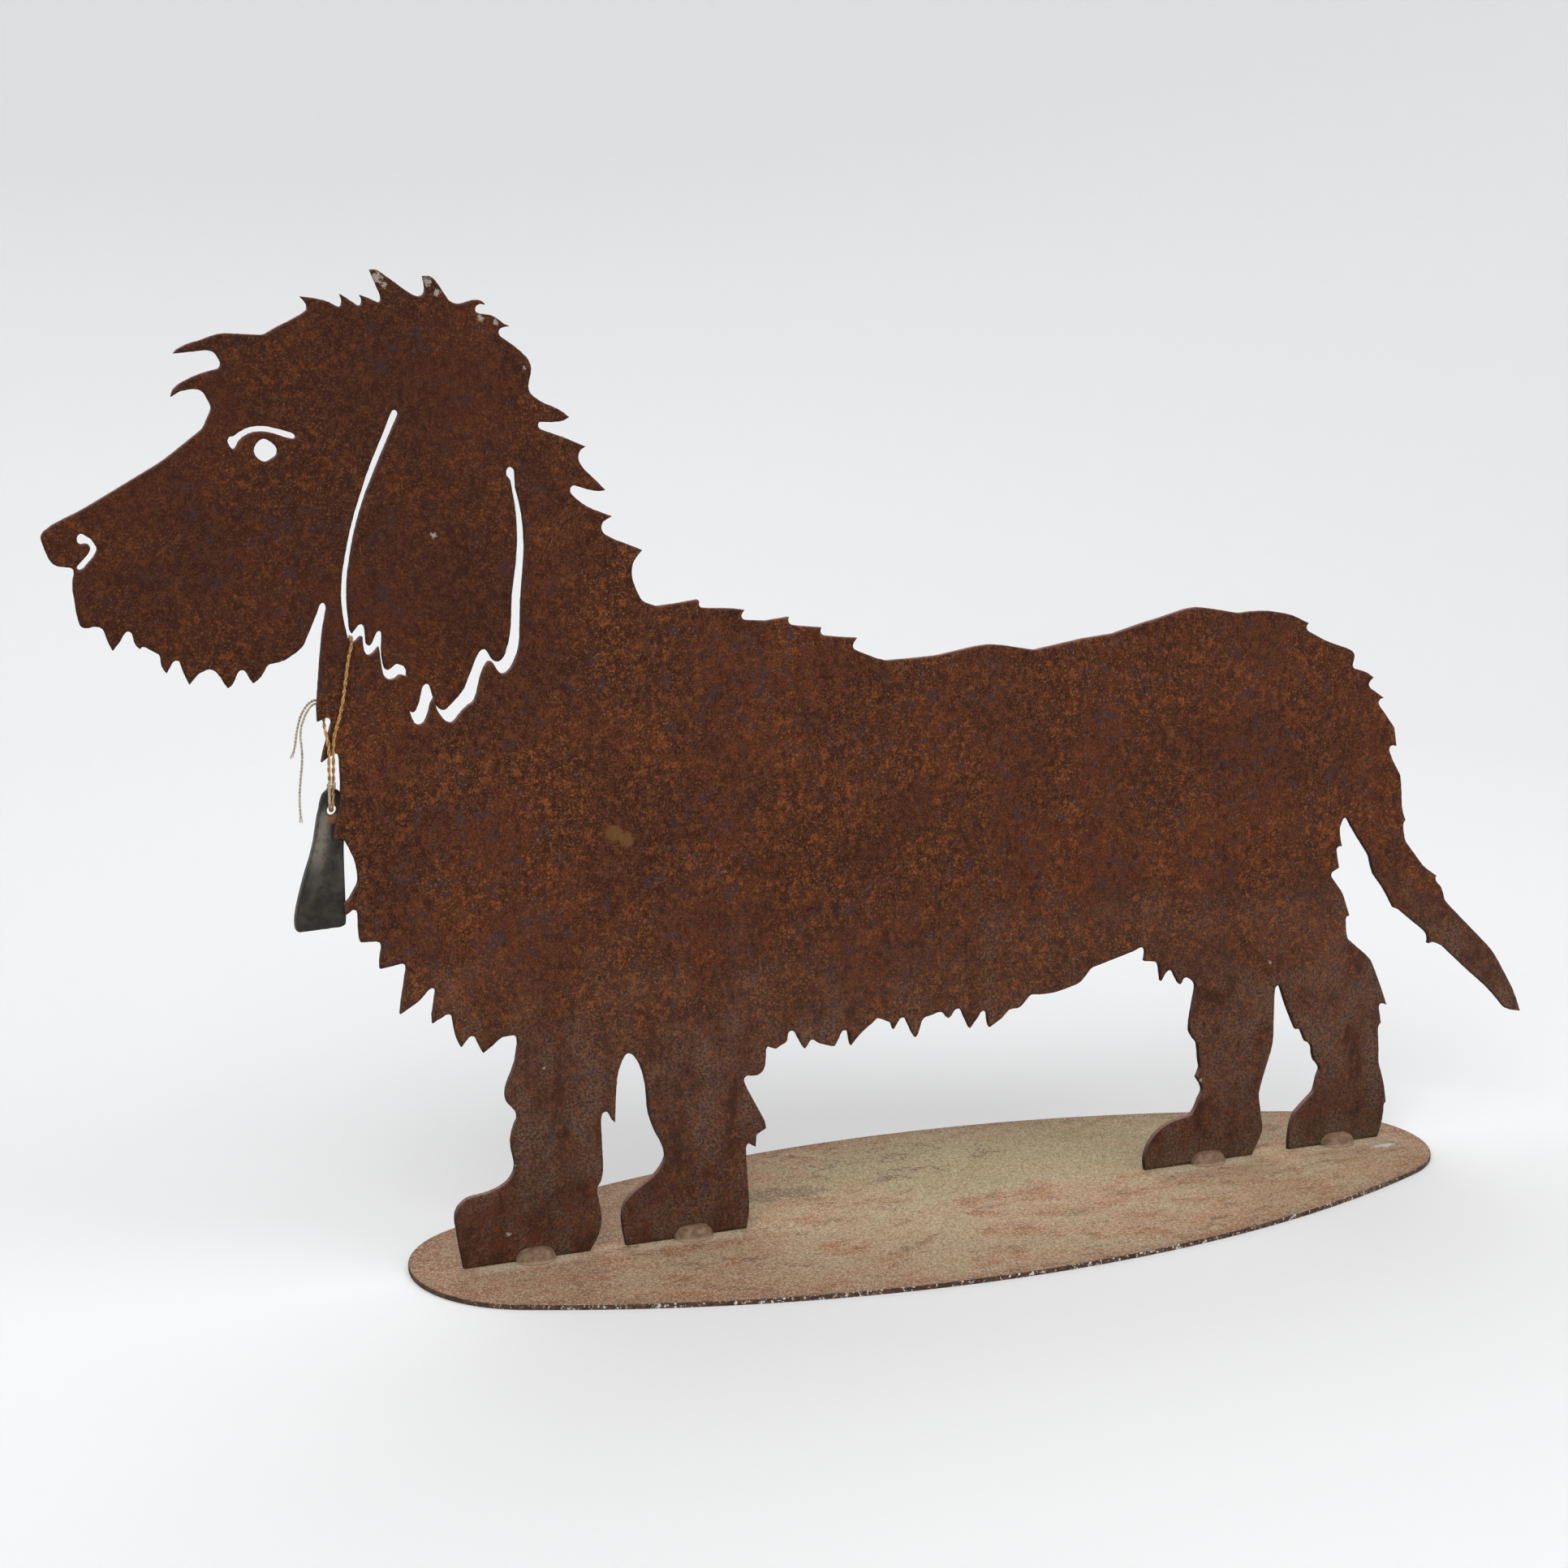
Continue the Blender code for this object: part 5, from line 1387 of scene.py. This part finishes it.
    def form(self) -> Shell:
        """The wall and both faces.

        Each row of the wall is the outline moved inwards by the row's rounding and by a ripple,
        and both faces are the triangles between the first row and the points inside.
        """
        loops = [self.evenly(loop) for loop in self.outlines()]
        outward, room = room_inside(loops)
        border = np.vstack(loops)
        total = len(border)
        rounding = np.minimum(self.rounding, 0.35 * room)[:, None]
        limit = np.minimum(self.ragged, 0.15 * room)
        strips = []
        for depth, inset, _ in self.wall_rows:
            at = np.column_stack([border[:, 0], np.full(total, depth * self.half * 0.4),
                                  border[:, 1]])
            rough = ripple(at, 0.0028, 3) * 0.6 + ripple(at, 0.0011, 4) * 0.4
            flat = border - outward * (rounding * inset + (rough * limit)[:, None])
            strips.append(np.column_stack([flat[:, 0], np.full(total, depth * self.half),
                                           flat[:, 1]]))
        ends = np.cumsum([len(loop) for loop in loops])
        here = np.arange(total)
        there = here + 1
        there[ends - 1] = np.concatenate([[0], ends[:-1]])
        levels = np.arange(len(self.wall_rows) - 1)[:, None] * total
        walls = np.stack([here + levels, there + levels, there + levels + total,
                          here + levels + total], axis=-1).reshape(-1, 4)
        inner, near = self.infill(loops)
        face = strips[0][:, [0, 2]]
        triangles = self.flats(np.vstack([face, inner]), np.column_stack([here, there]).tolist(),
                               np.split(face, ends[:-1]))
        shell = Shell()
        # lit: how far each wall faces up, which sets the painted highlight and shade on the cut
        # edge.
        lit = np.clip(outward[:, 1] * 0.95 - outward[:, 0] * 0.06, 0.0, 1.0)
        wall = np.repeat([row[2] for row in self.wall_rows], total)
        shell.add(np.vstack(strips), walls, wall=wall, lit=np.tile(lit, len(self.wall_rows)),
                  rim=np.ones(len(wall)))
        side = np.zeros(len(inner))
        for way, offset in ((-1.0, 0), (1.0, len(wall) - total)):
            middle = np.column_stack([inner[:, 0], np.full(len(inner), way * self.half),
                                      inner[:, 1]])
            first = shell.count
            shell.add(middle, np.zeros((0, 3), int), wall=side, lit=side, rim=near)
            shell.faces.extend(np.where(triangles < total, triangles + offset,
                                        triangles - total + first).tolist())
        return shell


@dataclass
class BasePlate(Piece):
    """The oval base: four arcs, a softened rim and a slightly uneven face."""

    name: str = "oval_base"
    slot: Slot = Slot.BASE
    nodes: tuple[str, ...] = ("base_plate",)
    length: float = 0.602
    width: float = 0.234
    end_radius: float = 0.066
    sheet: float = BASE_SHEET
    rounding: float = 0.0004
    uneven: float = 0.00012
    around: int = 560
    feet: tuple[tuple[float, float], ...] = (
        (-0.274, -0.207), (-0.188, -0.121), (0.122, 0.193), (0.217, 0.279))

    def oval(self) -> np.ndarray:
        """Points round the oval: an arc of the end's radius, then one of the flank's, mirrored."""
        half_length, half_width = self.length / 2, self.width / 2
        reach = half_length - self.end_radius
        flank = (reach ** 2 + half_width ** 2 - self.end_radius ** 2) / (
            2 * (half_width - self.end_radius))
        meet = math.atan2(flank - half_width, reach)
        quarter = self.around // 4
        share = np.arange(quarter + 1) / quarter
        bend = np.concatenate([np.linspace(0, meet, 400), np.linspace(meet, math.pi / 2, 400)])
        end = np.arange(800) < 400
        x = np.where(end, reach + self.end_radius * np.cos(bend), flank * np.cos(bend))
        y = np.where(end, self.end_radius * np.sin(bend),
                     half_width - flank + flank * np.sin(bend))
        run = run_along(np.column_stack([x, y]))
        one = np.column_stack([np.interp(share * run[-1], run, x),
                               np.interp(share * run[-1], run, y)])
        half = np.vstack([one, one[-2::-1] * (-1, 1)])
        return np.vstack([half, half[-2:0:-1] * (1, -1)])

    def form(self) -> Shell:
        """The oval scaled row by row: out across the top, over the rim and back under.

        A ripple is added to the top's height.
        """
        oval = self.oval()
        turn = np.linspace(0, math.pi / 2, 5)
        drawn_in, down = self.rounding * (np.sin(turn) - 1), self.rounding * (1 - np.cos(turn))
        top = np.linspace(0.012, 1.0, 64) ** 0.85
        share = np.concatenate([top, np.ones(10), [0.5, 0.01]])
        inset = np.concatenate([-self.rounding * top, drawn_in, drawn_in[::-1], [0, 0]])
        height = np.concatenate([np.full(len(top), self.sheet), self.sheet - down, down[::-1],
                                 [0, 0]])
        direction = unit(oval)
        flat = oval[None] * share[:, None, None] + direction[None] * inset[:, None, None]
        surface = np.concatenate([flat, np.broadcast_to(height[:, None, None],
                                                        flat.shape[:2] + (1,))], axis=-1)
        is_top = (np.arange(len(share)) < len(top))[:, None]
        swell = ripple(surface, 0.07, 11) * 0.6 + ripple(surface, 0.012, 12) * 0.4
        surface[..., 2] += np.where(is_top, swell * self.uneven, 0.0)
        x = surface[..., 0]
        wall = np.broadcast_to(~is_top, x.shape).astype(float)
        rim = np.broadcast_to(np.where(is_top, np.clip((share[:, None] - 0.90) / 0.1, 0, 1), 1.0),
                              x.shape)
        inside = np.max([np.clip((x - a) / 0.01, 0, 1) * np.clip((b - x) / 0.01, 0, 1)
                         for a, b in self.feet], axis=0)
        shell = Shell()
        shell.grid(surface, close_columns=True, cap=True, wall=wall, rim=rim,
                   feet=inside * np.broadcast_to(is_top, x.shape))
        return shell


@dataclass
class WeldBead(Piece):
    """A low puddle of weld in the corner between a sole and the base."""

    nodes: tuple[str, ...]
    centre: float
    seed: int
    slot: Slot = Slot.WELD
    clear: Point = (0.0, -0.00008, 0.0001)
    width: float = 0.021
    rise: float = 0.007
    reach: float = 0.009
    lumpy: float = 0.00022

    @property
    def name(self) -> str:
        """The bead's name, from its node's."""
        return self.nodes[0].replace("weld", "bead")

    def form(self) -> Shell:
        """The bead, swept from the foot down to the base.

        Its height falls and its reach grows as a quarter turn, both shrink towards the bead's
        two ends, and a ripple roughens it.
        """
        foot, base = self.clear[1] - DOG_HALF_SHEET, BASE_SHEET + self.clear[2]
        share = np.sin(np.linspace(-math.pi / 2, math.pi / 2, 49))[:, None]
        turn = np.linspace(0, math.pi / 2, 25)[None, :]
        grown = np.sqrt(1 - 0.97 * np.abs(share) ** 2.6)
        sag = 1 - 0.05 * np.cos(math.pi * share)
        x = self.centre + share * self.width / 2 + 0 * turn
        y = foot - self.reach * grown * np.sin(turn) ** 0.8
        z = base + self.rise * grown * sag * np.maximum(np.cos(turn), 0) ** 0.9
        surface = np.stack([x, y, z], axis=-1)
        lump = (ripple(surface, 0.006, self.seed) * 0.7
                + ripple(surface, 0.0022, self.seed + 1) * 0.3)
        swell = lump * self.lumpy * np.sin(2 * turn) * grown
        surface += swell[..., None] * (0, -1, 1)
        crease = np.clip((turn / (math.pi / 2) - 0.80) / 0.2, 0, 1) + 0 * share
        corner = np.stack([x[:, :1], 0 * x[:, :1] + foot, 0 * x[:, :1] + base], axis=-1)
        shell = Shell()
        shell.grid(np.concatenate([corner, surface], axis=1), close_columns=True, cap=True,
                   crease=np.concatenate([crease[:, :1] * 0, crease], axis=1))
        return shell


@dataclass(frozen=True)
class Studio:
    """A pale floor that sweeps up into a pale wall all round, with soft lamps and an open top."""

    flat: float = 1.7
    sweep: float = 2.3
    wall: float = 1.4
    around: int = 96
    colour: Colour = (0.89, 0.89, 0.89)
    room: Colour = (0.97, 0.985, 1.0)
    room_strength: float = 0.72
    lamps: tuple[tuple[Point, Point, float, float], ...] = (
        ((-1.5, -1.9, 2.3), (0.0, 0.0, 0.25), 1.6, 31.0),
        ((1.7, -1.6, 1.7), (0.0, 0.0, 0.25), 1.6, 13.5),
        ((0.2, 1.9, 2.2), (0.0, 0.0, 0.3), 1.8, 12.5))

    def backdrop(self) -> bpy.types.Object:
        """The floor: a flat disc, a quarter turn up and a straight wall, all turned round."""
        bend = np.linspace(0, math.pi / 2, 25)
        radius = np.concatenate([[0.001, self.flat * 0.5], self.flat + self.sweep * np.sin(bend),
                                 [self.flat + self.sweep]])
        height = np.concatenate([[0, 0], self.sweep * (1 - np.cos(bend)), [self.sweep + self.wall]])
        turn = turns(self.around)
        points = np.stack([radius[:, None] * np.cos(turn), radius[:, None] * np.sin(turn),
                           height[:, None] + 0 * turn], axis=-1).reshape(-1, 3)
        faces = quads_of(len(radius), len(turn), close_rows=False, close_columns=True)[:, ::-1]
        mesh = bpy.data.meshes.new("pale_sweep")
        middle = list(range(self.around - 1, -1, -1))
        mesh.from_pydata(points.tolist(), [], faces.tolist() + [middle])
        mesh.shade_smooth()
        mesh.materials.append(bpy.data.materials.new("pale_sweep"))
        mesh.materials[0].use_nodes = True
        shader = mesh.materials[0].node_tree.nodes["Principled BSDF"]
        shader.inputs["Base Color"].default_value = (*self.colour, 1.0)
        shader.inputs["Roughness"].default_value = 0.9
        shader.inputs["Specular IOR Level"].default_value = 0.2
        return linked(bpy.data.objects.new("pale_sweep", mesh))

    def build(self) -> None:
        """Lays the floor, sets the room's light and hangs the lamps."""
        self.backdrop()
        world = bpy.data.worlds.new("pale_room")
        world.use_nodes = True
        background = world.node_tree.nodes["Background"]
        background.inputs["Color"].default_value = (*self.room, 1.0)
        background.inputs["Strength"].default_value = self.room_strength
        bpy.context.scene.world = world
        bpy.context.scene.view_settings.view_transform = "Standard"
        for number, (position, target, size, power) in enumerate(self.lamps):
            data = bpy.data.lights.new(f"soft_lamp_{number}", "AREA")
            data.energy = power
            data.size = size
            lamp = linked(bpy.data.objects.new(f"soft_lamp_{number}", data))
            lamp.location = position
            aim = Vector(target) - Vector(position)
            lamp.rotation_euler = aim.to_track_quat("-Z", "Y").to_euler()


def main() -> None:
    """Dresses the dog."""
    logging.basicConfig(level=logging.INFO, format="%(message)s")
    Camera().place()
    effects = Effects.build()
    jute = JuteFibre("jute_fibre").make(effects)
    faded = JuteFibre("faded_fibre", light=(0.62, 0.53, 0.41), shade=(0.25, 0.19, 0.13),
                      stained_below=-1.0).make(effects)
    Pendant().build(WornTag("worn_tag", specular=0.25).make(effects))
    knot = Knot().build(jute)
    hitch = Hitch().build(faded)
    Twine(("twine_front",), FRONT_ROUTE, 0.128, 0.0016, End.TIED, 31, on_it=(knot, hitch)).build(
        jute)
    Twine(("twine_back",), BACK_ROUTE, 0.054, 0.0016, End.TIED, 32).build(jute)
    Twine(("twine_end_long",), LONG_ROUTE, 0.060, 0.0012, End.FRAYED, 33, Slot.FADED,
          pitch=3.4).build(faded)
    Twine(("twine_end_short",), SHORT_ROUTE, 0.032, 0.0012, End.FRAYED, 34, Slot.FADED,
          pitch=3.4).build(faded)
    DogPlate().build(RustedPlate("rusted_plate", specular=0.10).make(effects))
    BasePlate().build(DustyBase("dusty_base", specular=0.15).make(effects))
    bead = DustedWeld("dusted_weld", specular=0.2).make(effects)
    for seed, (node, centre) in enumerate({
            "weld_fore_left": -0.2372, "weld_fore_right": -0.151,
            "weld_hind_left": 0.162, "weld_hind_right": 0.2492}.items()):
        WeldBead((node,), centre, 50 + 3 * seed).build(bead)
    Studio().build()


if __name__ == "__main__":
    main()
